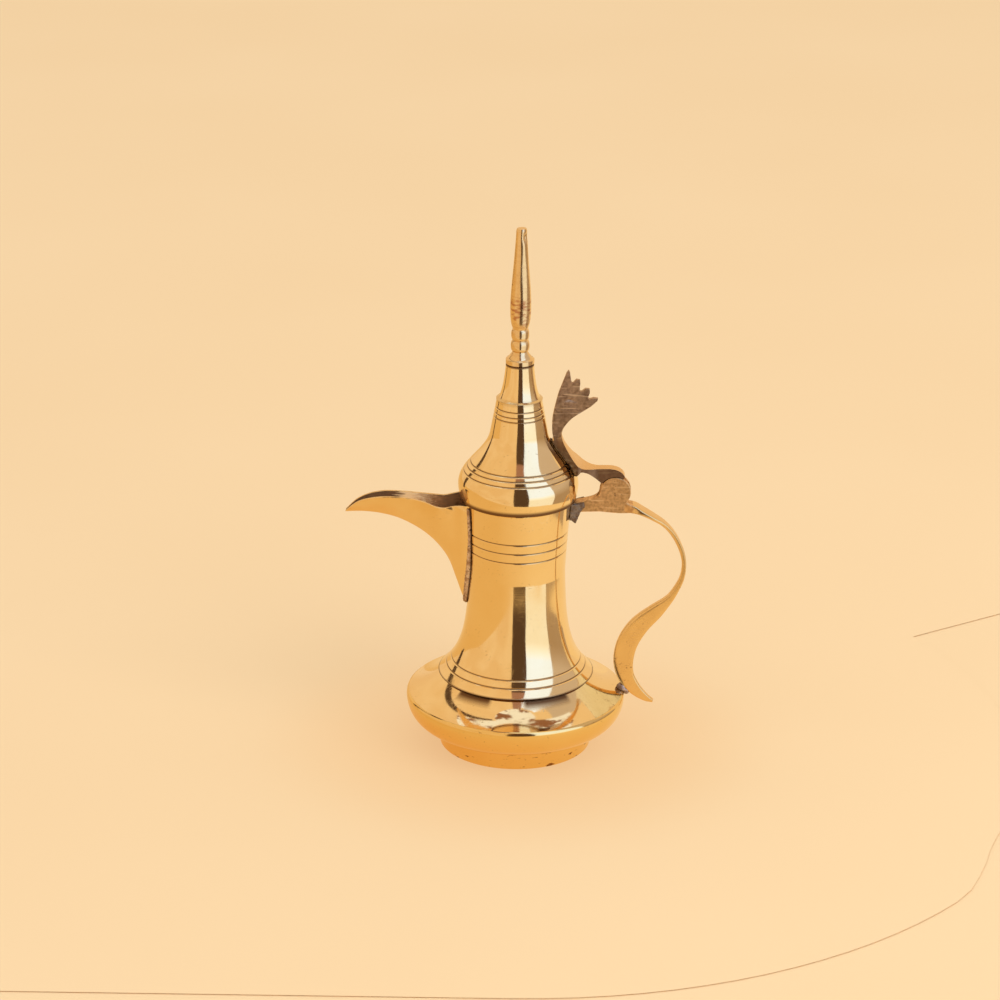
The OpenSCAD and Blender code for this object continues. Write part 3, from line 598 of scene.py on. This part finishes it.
spout_wall = 1.1
spout_sections = np.array([
    [-20.0, -55.5, -20.0, 0.0, 11.6], [-25.6, -53.6, -26.4, -0.2, 10.9],
    [-29.6, -43.5, -31.5, -0.9, 9.8], [-33.4, -33.0, -36.0, -1.9, 9.6],
    [-38.0, -25.7, -40.5, -1.4, 8.8], [-44.0, -19.5, -46.0, 0.0, 6.4],
    [-51.0, -14.6, -52.0, 1.0, 5.1], [-59.0, -10.7, -58.5, 1.6, 4.7],
    [-67.0, -8.6, -65.5, 1.7, 4.6], [-74.5, -7.7, -72.5, 0.6, 4.0],
    [-80.5, -7.7, -78.8, -2.0, 2.7], [-84.6, -8.0, -84.2, -6.8, 1.5]])


def through(points, steps):
    """A smooth curve through every point: each stretch is the cubic that leaves
    and meets its ends in the direction of their two neighbours."""
    p = np.asarray(points, float)
    i, last = np.arange(len(p) - 1), len(p) - 1
    a, b, c, d = (p[np.clip(i + k, 0, last)][:, None, :] for k in (-1, 0, 1, 2))
    t = (np.arange(steps) / steps)[None, :, None]
    curve = 0.5 * (2 * b + (c - a) * t + (2 * a - 5 * b + 4 * c - d) * t ** 2
                   + (3 * b - a - 3 * c + d) * t ** 3)
    return np.concatenate([curve.reshape(-1, p.shape[1]), p[-1:]])


def outside_neck(points, gap=film):
    """Points inside the neck are moved straight out to its surface and gap beyond."""
    points = points.copy()
    x, y, z = points[..., 0], points[..., 1], points[..., 2]
    out = np.where(z > mouth_z - 0.02, neck_outer(mouth_z) + 0.4, neck_outer(z)) + gap
    reach = np.maximum(np.hypot(x, y), 1e-6)
    grow = np.where(reach < out, out / reach, 1.0)
    points[..., 0], points[..., 1] = x * grow, y * grow
    return points


def beak_skin(stations, across, thick):
    """A skin of the beak: at a share q of the way down from the rim to the keel
    the half width is its rim's times 1 - q to the power 1.6; the inner skin is
    narrower by the wall and its keel is raised by it."""
    keel, rim, half = stations[:, None, 0:2], stations[:, None, 2:4], stations[:, None, 4]
    up = (rim - keel) / np.linalg.norm(rim - keel, axis=2, keepdims=True)
    q = 1 - np.abs(across)[None, :]
    at = rim + (keel + up * thick * 1.25 - rim) * q[..., None]
    y = np.sign(across) * np.maximum(half - thick * 1.1, 0.3) * (1 - q ** 1.6)
    return np.stack([at[..., 0], y, mouth_z + at[..., 1]], 2)


stations = through(spout_sections, 9)
across = np.sin(np.linspace(-1, 1, 61) * math.pi / 2)
rim_lift = 0.35
outer, inner = beak_skin(stations, across, 0.0), beak_skin(stations, across[::-1], spout_wall)
outer[:, [0, -1], 2] -= rim_lift
inner[:, [0, -1], 2] -= rim_lift


def tube_faces(rings, sides):
    """Faces of a tube of rings with so many points each, both ends closed."""
    ends = [list(range(sides))[::-1], list(range((rings - 1) * sides, rings * sides))]
    return grid_faces(rings, sides, False, True).tolist() + ends


def inside_out(faces):
    """The same faces, each walked the other way round."""
    return [list(face)[::-1] for face in faces]


def paint(piece, finishes, second=()):
    """Gives a piece its finishes: the second one where second says so of a face."""
    piece.data.materials.clear()
    for finish in finishes:
        piece.data.materials.append(finish)
    if len(second):
        piece.data.polygons.foreach_set("material_index", np.array(second, np.int32))


def rolled_edge(start, end):
    """The filed rim between two skins: an arc of half a circle, flattened."""
    a = np.linspace(0, math.pi, 7)[1:-1][None, :, None]
    middle, reach = (start + end)[:, None] / 2, (start - end)[:, None] / 2
    return middle + reach * np.cos(a) + np.array([0, 0, rim_lift]) * np.sin(a)


sections = np.concatenate([outer, rolled_edge(outer[:, -1], inner[:, 0]), inner,
                           rolled_edge(inner[:, -1], outer[:, 0])], 1)
x, y, z = (sections[..., k] for k in range(3))
dents = 0.05 * np.sin(x * 1.1 + 2 * np.sin(z * 0.4)) * np.cos(z * 0.9)
sections[..., 1] += np.sign(y) * dents * np.clip(np.abs(y) - 1, 0, 1)
sections = outside_neck(sections)
loop = sections.shape[1]
inside = np.isin(np.arange(loop), len(across) + 5 + np.arange(len(across)))


def trough_stain_and_highlight(tree, place, colour):
    """Along the beak from its tip: brown, a pale stretch that is a painted highlight, then coffee brown that
    darkens to the neck, all drawn out in streaks."""
    along = add(tree, "SeparateXYZ", {"Vector": place}).outputs["X"]
    stretched = add(tree, "Mapping", {"Vector": place, "Scale": (90, 1100, 1100)})
    streak = add(tree, "TexNoise", {"Vector": stretched, "Scale": 1.0, "Detail": 4.0})
    along = add(tree, "Math", {0: streak, 1: 0.022, 2: along}, operation="MULTIPLY_ADD")
    # The first, pale tint is a painted highlight; the browns after it darken the trough towards the neck
    for start, end, tint in ((-0.049, -0.046, "#ffe2ac"), (-0.040, -0.030, "#cc9860"),
                             (-0.032, -0.024, "#a57e56"), (-0.019, -0.013, "#52300f")):
        share = add(tree, "MapRange", {"Value": along, "From Min": start, "From Max": end})
        colour = add(tree, "Mix", {"Factor": share, "A": colour, "B": linear(tint)}, data_type="RGBA")
    return colour


beak_brass = polished_brass("hammered_beak_brass", "#f7deac", "#f1d092", 0.14, scratch=0.9, specks=0.15)
trough_brass = polished_brass("stained_trough_brass_painted_highlight", "#8f6a44", "#6d4a2a", 0.5, scratch=1.0,
                              stain=trough_stain_and_highlight, metal=0.45)
spout = new_piece("hammered_spout", mm * sections, inside_out(tube_faces(len(sections), loop)), [])
paint(spout, [beak_brass, trough_brass], [*np.tile(inside, len(sections) - 1), False, False])
crisp(spout, 50)
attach(spout, "pot")
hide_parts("spout")


# ---- Solder ----
# Soft solder, tin and lead, run in with an iron and scraped back: dull grey
# over brown flux, lumpy along the beak's root, under the bar and at the leaf.

def lumps(points, height):
    """A rough swelling: sums of sines of about 2 to 5 mm along all three axes."""
    x, y, z = points[..., 0], points[..., 1], points[..., 2]
    return height * (np.sin(1.9 * x + 1.3 * z) * np.cos(2.3 * y - 0.7 * z) + 0.6 * np.sin(2.9 * z + 1.7 * y)
                     + 0.4 * np.sin(4.1 * x - 3.3 * z))


def soft_solder(name, grey, flux, shine):
    """Soft solder: grey metal drifting to brown flux over 3 mm, grainy under 1 mm."""
    finish, tree, place = new_finish(name)
    drift = add(tree, "TexNoise", {"Vector": place, "Scale": 320.0, "Detail": 4.0})
    spread = add(tree, "MapRange", {"Value": drift, "From Min": 0.38, "From Max": 0.62})
    grain = add(tree, "TexNoise", {"Vector": place, "Scale": 1400.0, "Detail": 3.0})
    colour = add(tree, "Mix", {"Factor": spread, "A": linear(grey), "B": linear(flux)}, data_type="RGBA")
    pits = add(tree, "MapRange", {"Value": grain, "From Min": 0.58, "From Max": 0.68})
    colour = add(tree, "Mix", {"Factor": pits, "A": colour, "B": linear("#3a2413")}, data_type="RGBA")
    # Painted shade where the bead meets the neck, by the stored share
    contact_shade = add(tree, "Attribute", attribute_name="grime_and_shade").outputs["Fac"]
    colour = add(tree, "Mix", {"Factor": contact_shade, "A": colour, "B": linear("#3a2413")}, data_type="RGBA")
    gloss = add(tree, "MapRange", {"Value": drift, "From Min": 0.3, "From Max": 0.7, "To Min": shine,
                                   "To Max": shine + 0.25})
    relief = add(tree, "Bump", {"Height": grain, "Strength": 0.7, "Distance": 1.2e-4})
    skin = add(tree, "BsdfPrincipled", {"Base Color": colour, "Metallic": 0.8, "Roughness": gloss,
                                        "Normal": relief})
    add(tree, "OutputMaterial", {"Surface": skin})
    return finish


seam_solder = soft_solder("seam_solder", "#dfc9b4", "#b08e6e", 0.38)
grey_solder = soft_solder("grey_solder", "#988b80", "#765e49", 0.4)
pale_solder = soft_solder("pale_solder", "#c9b8b0", "#957a68", 0.4)
burnt_solder = soft_solder("burnt_solder", "#a0835f", "#5e452f", 0.4)

# The seam follows the beak's root on the neck, thicker towards its foot
root = spout_sections[1]
along = np.linspace(-1, 1, 181)
q = 1 - np.abs(along)
z = mouth_z + root[3] + (root[1] - root[3]) * q
y = np.sign(along) * (root[4] + 0.1) * (1 - q ** 1.6)
line = np.stack([-np.sqrt((neck_outer(z) + 0.2) ** 2 - y ** 2), y, z], 1)[z < mouth_z - 1.3]
step = np.gradient(line, axis=0)
step /= np.linalg.norm(step, axis=1, keepdims=True)
out = line * [1, 1, 0] / np.linalg.norm(line[:, :2], axis=1)[:, None]
side = np.cross(step, out)
side /= np.linalg.norm(side, axis=1, keepdims=True)
lift = np.cross(side, step)
spin = np.radians(np.linspace(0, 360, 20, endpoint=False))
bead_top, bead_more = 1.15, 0.9
thick = bead_top + bead_more * np.clip((mouth_z - 18 - line[:, 2]) / 22, 0, 1)[:, None, None]
ring = thick * (lift[:, None] * np.cos(spin)[None, :, None] + side[:, None] * np.sin(spin)[None, :, None])
tube = outside_neck(line[:, None] + ring * (1 + lumps(line[:, None] + ring, 0.07))[..., None])
seam = new_piece("spout_seam_solder", mm * tube, inside_out(tube_faces(len(line), len(spin))), [seam_solder])
# Painted shade: the bead goes dark brown where it meets the neck
stand_off = np.hypot(tube[..., 0], tube[..., 1]) - neck_outer(tube[..., 2])
store_darkening(seam, np.clip(1.2 - stand_off / 0.6, 0, 0.9))
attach(seam, "pot")
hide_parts("spout_solder")


def read(items, what):
    """A vector of every vertex or face as rows of x, y and z."""
    values = np.zeros(len(items) * 3, np.float32)
    items.foreach_get(what, values)
    return values.reshape(-1, 3)


def lumpy_copy(node, name, body, finish, grain=0.35, swell=0.06):
    """A solder blob from its solid: welded, remeshed to an even grain, relaxed
    and swollen here and there."""
    blob = bpy.data.objects.new(name, nodes[node].data.copy())
    bpy.context.scene.collection.objects.link(blob)
    weld = blob.modifiers.new("weld", "WELD")
    weld.merge_threshold = 1e-6
    even = blob.modifiers.new("even", "REMESH")
    even.mode, even.voxel_size, even.use_smooth_shade = "VOXEL", grain * mm, True
    relax = blob.modifiers.new("relax", "SMOOTH")
    relax.factor, relax.iterations = 0.5, 3
    bake(blob)
    at = read(blob.data.vertices, "co")
    at += read(blob.data.vertices, "normal") * lumps(at / mm, swell * mm)[:, None].astype(np.float32)
    blob.data.vertices.foreach_set("co", at.ravel())
    paint(blob, [finish])
    blob.data.update()
    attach(blob, body)
    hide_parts(node)
    return blob


lumpy_copy("handle_top_solder", "bar_solder", "pot", grey_solder)
lumpy_copy("handle_foot_solder", "leaf_solder", "pot", pale_solder)
lumpy_copy("lever_solder", "saddle_solder", "lid", burnt_solder, grain=0.3, swell=0.03)
for hidden in ("foot_solder", "belly_solder", "skirt_solder"):
    dress(hidden, grey_solder)


# ---- Handle ----
# Cast in brass in one: a bar with two ears for the hinge, an arched strap and a
# broad leaf that ends in a tail. Filed, then polished on the strap and leaf only.

pin_x, pin_z, pin_r = 47.4, lid_z + 3.9, 1.5
ear_r, ear_w, slot_w = 7.6, 6.2, 2.4
arch = np.array([
    [4.6, -7.9, 5, 6.2], [9.6, -8.9, 4.2, 8.4], [13.6, -10.6, 2.7, 9.2], [19.1, -13.6, 2.1, 8.2],
    [24.6, -17.3, 2.1, 6.2], [29.4, -23, 2.3, 4.8], [33.1, -30.5, 2.3, 4.2], [34.7, -38, 2.2, 4],
    [33.8, -46, 2.4, 4]]) + [pin_x, pin_z, 0, 0]
leaf = np.array([
    [24.5, 52.4, 3.2, 4], [21.2, 47.9, 4.6, 4], [15.7, 42.4, 7.6, 3.8], [7.9, 34.8, 9.8, 3.6],
    [2.5, 25.8, 10.4, 3.6], [0.5, 16.3, 10, 3.6], [1.8, 7.8, 8.4, 3.6], [6.2, 0.8, 6.4, 3.4],
    [11.6, -4, 3.8, 3], [15.6, -6, 1.4, 2.6]]) + [crease_r, crease_z, 0, 0]


def bar_along(stations, sides=44, power=5.0):
    """Rings of a bar whose middle line lies in the X-Z plane. Each ring is a
    rounded rectangle: half the thickness times cos to the power 2/p square to
    the line, half the width times sin to the power 2/p across it."""
    step = np.gradient(stations[:, :2], axis=0)
    step /= np.linalg.norm(step, axis=1, keepdims=True)
    a = np.linspace(0, 2 * math.pi, sides, endpoint=False) + 0.01
    u = np.sign(np.cos(a)) * np.abs(np.cos(a)) ** (2 / power)
    v = np.sign(np.sin(a)) * np.abs(np.sin(a)) ** (2 / power)
    t, w = stations[:, 2:3] / 2 * u, stations[:, 3:4] / 2 * v
    return np.stack([stations[:, :1] - step[:, 1:] * t, w, stations[:, 1:2] + step[:, :1] * t], 2)


def cast_plate(outline, w, edge=0.35, steps=4):
    """A flat casting about the plane y = 0 with rounded edges: the outline,
    walked anticlockwise in x and z, is inset by edge * (1 - sin a) where its
    half width is w / 2 - edge * (1 - cos a), a from 0 to a right angle."""
    flat = np.asarray(outline, float)
    step = np.roll(flat, -1, 0) - np.roll(flat, 1, 0)
    step /= np.linalg.norm(step, axis=1, keepdims=True)
    a = np.linspace(0, math.pi / 2, steps)
    inset = edge * (1 - np.sin(a))
    y = -w / 2 + edge * (1 - np.cos(a))
    inset, y = np.concatenate([inset, inset[::-1]]), np.concatenate([y, -y[::-1]])
    x = flat[None, :, 0] - step[None, :, 1] * inset[:, None]
    z = flat[None, :, 1] + step[None, :, 0] * inset[:, None]
    points = np.stack(np.broadcast_arrays(x, y[:, None], z), 2)
    return points, tube_faces(len(y), len(flat))


def round_arc(x, z, r, start, end, n=40):
    """Points on an arc in the X-Z plane, angles in degrees from +X towards +Z."""
    a = np.radians(np.linspace(start, end, n))
    return np.stack([x + r * np.cos(a), z + r * np.sin(a)], 1)


from_pin = np.array([pin_x, pin_z])
ear_outline = np.concatenate([
    [[-24, -10.7], [-16, -10.4], [-7, -10.1], [-2, -10.6], [2, -10.9], [6, -10.8], [9.5, -10.6], [9.5, -6.9]]
    + from_pin,
    bezier([9.5, -6.9], [7.6, -6.6], [6.6, -6.2], [5.6, -5.1], 8)[1:] + from_pin,
    round_arc(pin_x, pin_z, ear_r, -40, 180, 70),
    bezier([-ear_r, 0], [-ear_r - 0.2, -2.4], [-9.6, -3.4], [-12.2, -4.2], 14)[1:] + from_pin,
    [[-17, -5.4], [-24, -5.9]] + from_pin])
points, faces = cast_plate(ear_outline, ear_w)
handle = new_piece("cast_handle", mm * outside_neck(points), faces, [])
outward(handle)
rings = bar_along(through(np.concatenate([arch, leaf]), 8))
combine(handle, new_piece("strap", mm * rings, tube_faces(*rings.shape[:2]), []), "UNION")

# Between the ears is a slot for the lever's tongue, open at the top
slot_r, slot_end, slot_floor = ear_r - 0.5, ear_r + 1.5, 5.0
reach = math.degrees(math.asin(slot_floor / slot_r))
tongue_room = np.concatenate([
    [[-slot_end, -slot_floor]] + from_pin, round_arc(pin_x, pin_z, slot_r, 180 + reach, 360 - reach),
    [[slot_end, -slot_floor], [slot_end, slot_end], [-slot_end, slot_end]] + from_pin])
pin_room = round_arc(pin_x, pin_z, pin_r + 0.03, 0, 354, 60)
for outline, w in ((tongue_room, slot_w), (pin_room, ear_w + 2)):
    points, faces = cast_plate(outline, w, edge=0.001, steps=2)
    combine(handle, new_piece("room", mm * points, faces, []))


def soften(piece, degrees=35):
    """Smooth shading with edges sharper than this angle kept sharp, and flat
    faces kept flat beside rounded edges."""
    piece.data.polygons.foreach_set("use_smooth", [True] * len(piece.data.polygons))
    piece.data.set_sharp_from_angle(angle=math.radians(degrees))
    weighted = piece.modifiers.new("flat_faces", "WEIGHTED_NORMAL")
    weighted.keep_sharp, weighted.weight = True, 80
    bake(piece)


def scored(tree, place, colour, dark, pale, share):
    """Old cast skin: dark blotches and pits under 1 mm, thick or thin by share,
    and pale lines where a file or a key has scraped along it."""
    colour = blotched(tree, place, colour, dark, (620, 620, 620), (0.4, 0.68), share, 7.0)
    for turned_by, stretch in ((0.12, (50, 50, 700)), (-0.5, (90, 90, 620))):
        colour = blotched(tree, place, colour, pale, stretch, (0.64, 0.68), 0.6, 1.0, (0, turned_by, 0))
    return colour


def bar_stain(tree, place, colour):
    """Blotched brown skin on the ears."""
    return scored(tree, place, colour, "#a07044", "#ffdca6", 0.6)


filed_hairs = (((0.0, 0.1, 0.0), (55, 55, 1300)), ((0.0, -0.6, 0.0), (70, 70, 1000)))
bar_brass = polished_brass("polished_strap_brass", "#f3d49a", "#e6be7e", 0.2, lines=0.0, scratch=1.2,
                           specks=0.6, hairs=filed_hairs)
ear_brass = polished_brass("filed_ear_brass", "#f3cf98", "#e6b87c", 0.42, lines=0.0, scratch=1.8,
                           specks=1.0, stain=bar_stain, hairs=filed_hairs)
outward(handle, merge=0.002)
middle = read(handle.data.polygons, "center") / mm
polished_from_x, polished_below_z = pin_x + 9.0, pin_z - 11.5
dull = (middle[:, 0] < polished_from_x) & (middle[:, 2] > polished_below_z)
paint(handle, [bar_brass, ear_brass], dull)
soften(handle)
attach(handle, "pot")
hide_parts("handle")
dress("hinge_pin", ear_brass)


# ---- Lid dome, cone and collar ----
# Bulged, stepped dome of sheet brass with six turned grooves, the flared cone
# that caps it and the plain collar inside. All are spun thin and buffed.

lid_edge_r, lid_r, bulge_h = 28.3, 29.4, 7.5
dome_h, dome_cone_h, cone_h = 34.4, 16.6, 17.9
dome_z = lid_z + dome_h
cone_z = dome_z + dome_cone_h
top_z = cone_z + cone_h
dome_neck_r, dome_top_r = 14.0, 11.0
cone_lip_r, cone_top_r, top_plate = 11.3, 6.8, 1.5
dome_grooves = [lid_z + h for h in (14.5, 16.8, 18.8, 42.5, 44.6, 47.2)]

dome_outside = np.concatenate([
    bezier([lid_edge_r, lid_z], [lid_edge_r + 0.5, lid_z + bulge_h * 0.35],
           [lid_r, lid_z + bulge_h * 0.6], [lid_r, lid_z + bulge_h], 16),
    bezier([lid_r, lid_z + bulge_h], [lid_r, lid_z + bulge_h + 9.5],
           [dome_neck_r + 1.5, dome_z - 11], [dome_neck_r, dome_z], 60)[1:],
    [[dome_top_r, cone_z]]])
steps = np.unique(np.concatenate([np.linspace(lid_z, cone_z, 150)]
                                 + [z + np.linspace(-0.55, 0.55, 15) for z in dome_grooves]))
fine = np.stack([np.interp(steps, dome_outside[:, 1], dome_outside[:, 0]), steps], 1)
dome_inside = beside(dome_outside, wall)[1:-1]
dome_inside = dome_inside[(dome_inside[:, 1] > lid_z + 0.3) & (dome_inside[:, 1] < cone_z - 0.3)]
dome_profile = np.concatenate([
    cut_grooves(fine, dome_grooves), [[dome_top_r - wall, cone_z]], dome_inside[::-1],
    [[lid_edge_r - wall, lid_z]]])
# Painted dark reflection: the lid's lower edge darkens over almost 3 mm, standing for the neck's dark
# showing under the bulge; faint painted shade where the cone sits; the grooves are darker in their middles
lid_dome = turned("spun_lid_dome", dome_profile, [sheet_brass],
                  darkening=np.maximum(darkening_near(dome_profile, dome_grooves, rim=lid_z, rim_reach=2.8),
                                  0.2 * darkening_near(dome_profile, [], rim=cone_z, rim_reach=1.2)))
crisp(lid_dome)
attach(lid_dome, "lid")
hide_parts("lid_dome")

cone_outside = np.concatenate([
    [[cone_lip_r, cone_z], [cone_lip_r, cone_z + 0.4]],
    bezier([cone_lip_r - 1.3, cone_z + 0.9], [cone_lip_r - 2.9, cone_z + 4.2],
           [cone_top_r + 0.7, cone_z + 9.5], [cone_top_r, top_z], 30)])
up = cone_outside[:, 1]
hollow = cone_outside[(up > cone_z + 0.8) & (up < top_z - top_plate)] - [wall + 0.1, 0]
cone_profile = np.concatenate([
    evenly(cone_outside, 0.3),
    [[2.1, top_z], [2.1, top_z - top_plate], [cone_top_r - wall, top_z - top_plate]],
    hollow[::-1], [[cone_lip_r - 1.7, cone_z]]])
# Painted shade: a dark line at the top under the finial's foot, and a faint darkening on the lip at the foot
# that dims its highlight
lid_cone = turned("spun_lid_cone", cone_profile, [sheet_brass], rounds=160, depth=0.01,
                  darkening=np.maximum(darkening_near(cone_profile, [], rim=top_z, rim_reach=1.1),
                                  0.2 * darkening_near(cone_profile, [], rim=cone_z + 0.3, rim_reach=1.6)))
crisp(lid_cone)
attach(lid_cone, "lid")
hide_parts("lid_cone")
dress("lid_collar", sheet_brass)


# ---- Finial ----
# Turned from solid bar: a foot disc, two beads and a long spindle that tapers
# to a flat tip, left with the marks of the turning tool, screwed by its stud.

foot_z = top_z + 2.8
spindle_z = foot_z + 14.9
tip_z = spindle_z + 50.0
spindle_r, tip_r, stem_r, stud_r = 5.0, 2.3, 3.6, 2.0


def bead(swell, low, high):
    """Outline of a turned bead that swells out of the stem between two heights."""
    return bezier([stem_r, low], [stem_r + swell, low * 0.9 + high * 0.1],
                  [stem_r + swell, low * 0.1 + high * 0.9], [stem_r, high], 16)


finial_outside = np.concatenate([
    [[0, top_z - 5.5], [stud_r, top_z - 5.5], [stud_r, top_z], [cone_top_r - 0.3, top_z],
     [cone_top_r + 0.15, top_z + 0.4], [cone_top_r + 0.15, foot_z - 0.4], [cone_top_r - 0.3, foot_z]],
    bezier([cone_top_r - 0.8, foot_z + 0.2], [5, foot_z + 1.5], [stem_r + 0.4, foot_z + 2.6],
           [stem_r + 0.1, foot_z + 3.4], 10),
    bead(1.3, foot_z + 3.5, foot_z + 9.2), bead(1.0, foot_z + 9.3, spindle_z - 0.1),
    bezier([stem_r, spindle_z], [spindle_r, spindle_z + 3], [spindle_r, spindle_z + 8],
           [spindle_r, spindle_z + 11.5], 20),
    bezier([spindle_r, spindle_z + 11.5], [spindle_r, spindle_z + 20], [tip_r + 1.3, spindle_z + 30],
           [tip_r + 0.3, tip_z - 1], 60)[1:],
    [[tip_r, tip_z], [tip_r * 0.5, tip_z], [0, tip_z]]])


def tool_marks(tree, place, colour):
    """Reddish scuffs on the thick of the spindle, where fingers and tools grip."""
    height = add(tree, "SeparateXYZ", {"Vector": place}).outputs["Z"]
    grip = add(tree, "Math", {0: height, 1: (spindle_z + 9) * mm}, operation="SUBTRACT")
    grip = add(tree, "Math", {0: grip}, operation="ABSOLUTE")
    grip = add(tree, "MapRange", {"Value": grip, "From Min": 0.009, "From Max": 0.005, "To Min": 0.12,
                                  "To Max": 0.85})
    return blotched(tree, place, colour, "#b9805a", (260, 260, 700), (0.47, 0.6), grip, 5.0)


finial_brass = polished_brass("turned_bar_brass", "#f3d9a8", "#e6c48c", 0.2, lines=1.0, scratch=1.2,
                              stain=tool_marks)
finial = turned("turned_finial", finial_outside, [finial_brass], rounds=96, depth=0.04, closed=False)

# A knock near the tip: points pushed to the axis by a bell curve about its middle
at = read(finial.data.vertices, "co")
off = (at / mm - [2.2, -1.6, tip_z - 4.0]) / [1.2, 1.6, 2.0]
at[:, :2] *= 1 - 0.4 * np.exp(-(off ** 2).sum(1))[:, None]
finial.data.vertices.foreach_set("co", at.ravel())
crisp(finial)
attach(finial, "lid")
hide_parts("finial")

dress("finial_nut", bar_brass)


# ---- Thumb lever ----
# Cast in brass in one: crown, stem, the saddle that sits on the dome and the arm
# with the hinge tongue. Filed by hand, scored across the crown; the thumb keeps
# the upper faces bright, the flanks have gone brown.

lever = bpy.data.objects.new("cast_thumb_lever", nodes["thumb_lever"].data.copy())
bpy.context.scene.collection.objects.link(lever)
outward(lever, merge=0.1, flatten=2.0)
shape = bmesh.new()
shape.from_mesh(lever.data)
weight = shape.edges.layers.float.new("bevel_weight_edge")
filed_from = math.radians(38)
for edge in shape.edges:
    outer_edge = edge.is_convex and edge.calc_face_angle(0) > filed_from
    edge[weight] = 1.0 if outer_edge and edge.calc_length() > 0.5 * mm else 0.0
shape.to_mesh(lever.data)
shape.free()
rounding = lever.modifiers.new("filed_edges", "BEVEL")
rounding.width, rounding.segments, rounding.limit_method = 0.15 * mm, 2, "WEIGHT"
rounding.use_clamp_overlap = False
bake(lever)
outward(lever, merge=0.01)


def file_marks(levels, deep, wide, half):
    """Thin wedges along X that score the crown's two flanks: each is a prism
    with a triangle of the given depth and width as its section."""
    marks = []
    for x_from, x_to, z, slope in levels:
        for face in (-1, 1):
            section = np.array([[face * (half - deep), 0], [face * (half + deep), -wide],
                                [face * (half + deep), wide]])
            ends = [[[x, y, z + dz + slope * (x - x_from)] for y, dz in section] for x in (x_from, x_to)]
            marks.append(np.array(ends).reshape(-1, 3))
    sides = [[0, 1, 2], [5, 4, 3], [0, 3, 4, 1], [1, 4, 5, 2], [2, 5, 3, 0]]
    faces = [[i + 6 * k for i in side] for k in range(len(marks)) for side in sides]
    return new_piece("scorer", mm * np.concatenate(marks), faces, [])


combine(lever, file_marks([(17.2, 30.5, lid_z + 44.6, 0.03), (17.0, 32.6, lid_z + 46.3, -0.02),
                           (17.4, 30.0, lid_z + 47.6, 0.05), (19.4, 26.0, lid_z + 49.6, 0.3),
                           (23.0, 29.0, lid_z + 51.5, -0.35), (17.2, 24.0, lid_z + 42.0, -0.04)],
                          0.22, 0.3, 2.5))
outward(lever, merge=0.004)

# Hammered thinner towards the points, from the crown's foot to its top
crown_z, crown_h, thinned = lid_z + 38, 18, 0.62
at = read(lever.data.vertices, "co")
thin = np.clip((at[:, 2] / mm - crown_z) / crown_h, 0, 1)
at[:, 1] *= 1 - thinned * thin * thin * (3 - 2 * thin)
lever.data.vertices.foreach_set("co", at.ravel())


def lever_stain(tree, place, colour):
    """Brown tarnish in soft clouds of 4 mm, darker down the stem, blotched and
    scraped pale."""
    cloud = add(tree, "TexNoise", {"Vector": place, "Scale": 240.0, "Detail": 5.0})
    mask = add(tree, "MapRange", {"Value": cloud, "From Min": 0.35, "From Max": 0.65, "To Min": 0.2,
                                  "To Max": 0.75})
    colour = add(tree, "Mix", {"Factor": mask, "A": colour, "B": linear("#a68a74")}, data_type="RGBA")
    colour = scored(tree, place, colour, "#7c5a42", "#ffe2b8", 0.6)
    height = add(tree, "SeparateXYZ", {"Vector": place}).outputs["Z"]
    low = add(tree, "MapRange", {"Value": height, "From Min": dome_z * mm, "From Max": (dome_z - 8) * mm,
                                 "To Max": 0.8})
    return add(tree, "Mix", {"Factor": low, "A": colour, "B": linear("#7a5c44")}, data_type="RGBA")


flank_brass = polished_brass("tarnished_cast_brass", "#e6c7a0", "#d0ab84", 0.4, lines=0.0, scratch=1.6,
                             specks=1.0, stain=lever_stain, hairs=filed_hairs)
worn_brass = polished_brass("thumb_worn_brass", "#f0cc92", "#e0b474", 0.26, lines=0.0, scratch=2.0,
                            specks=0.8, hairs=filed_hairs)
facing = read(lever.data.polygons, "normal")
middle = read(lever.data.polygons, "center") / mm
# The thumb wears what faces up and back, below the crown; over the arm only the top
bright = (np.abs(facing[:, 1]) < 0.93) & (facing[:, 0] + facing[:, 2] > 0.15)
bright &= (middle[:, 2] < crown_z + 3) & ((middle[:, 0] < lid_r - 0.4) | (facing[:, 2] > 0.45))
paint(lever, [flank_brass, worn_brass], bright)
soften(lever)
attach(lever, "lid")
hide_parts("thumb_lever")
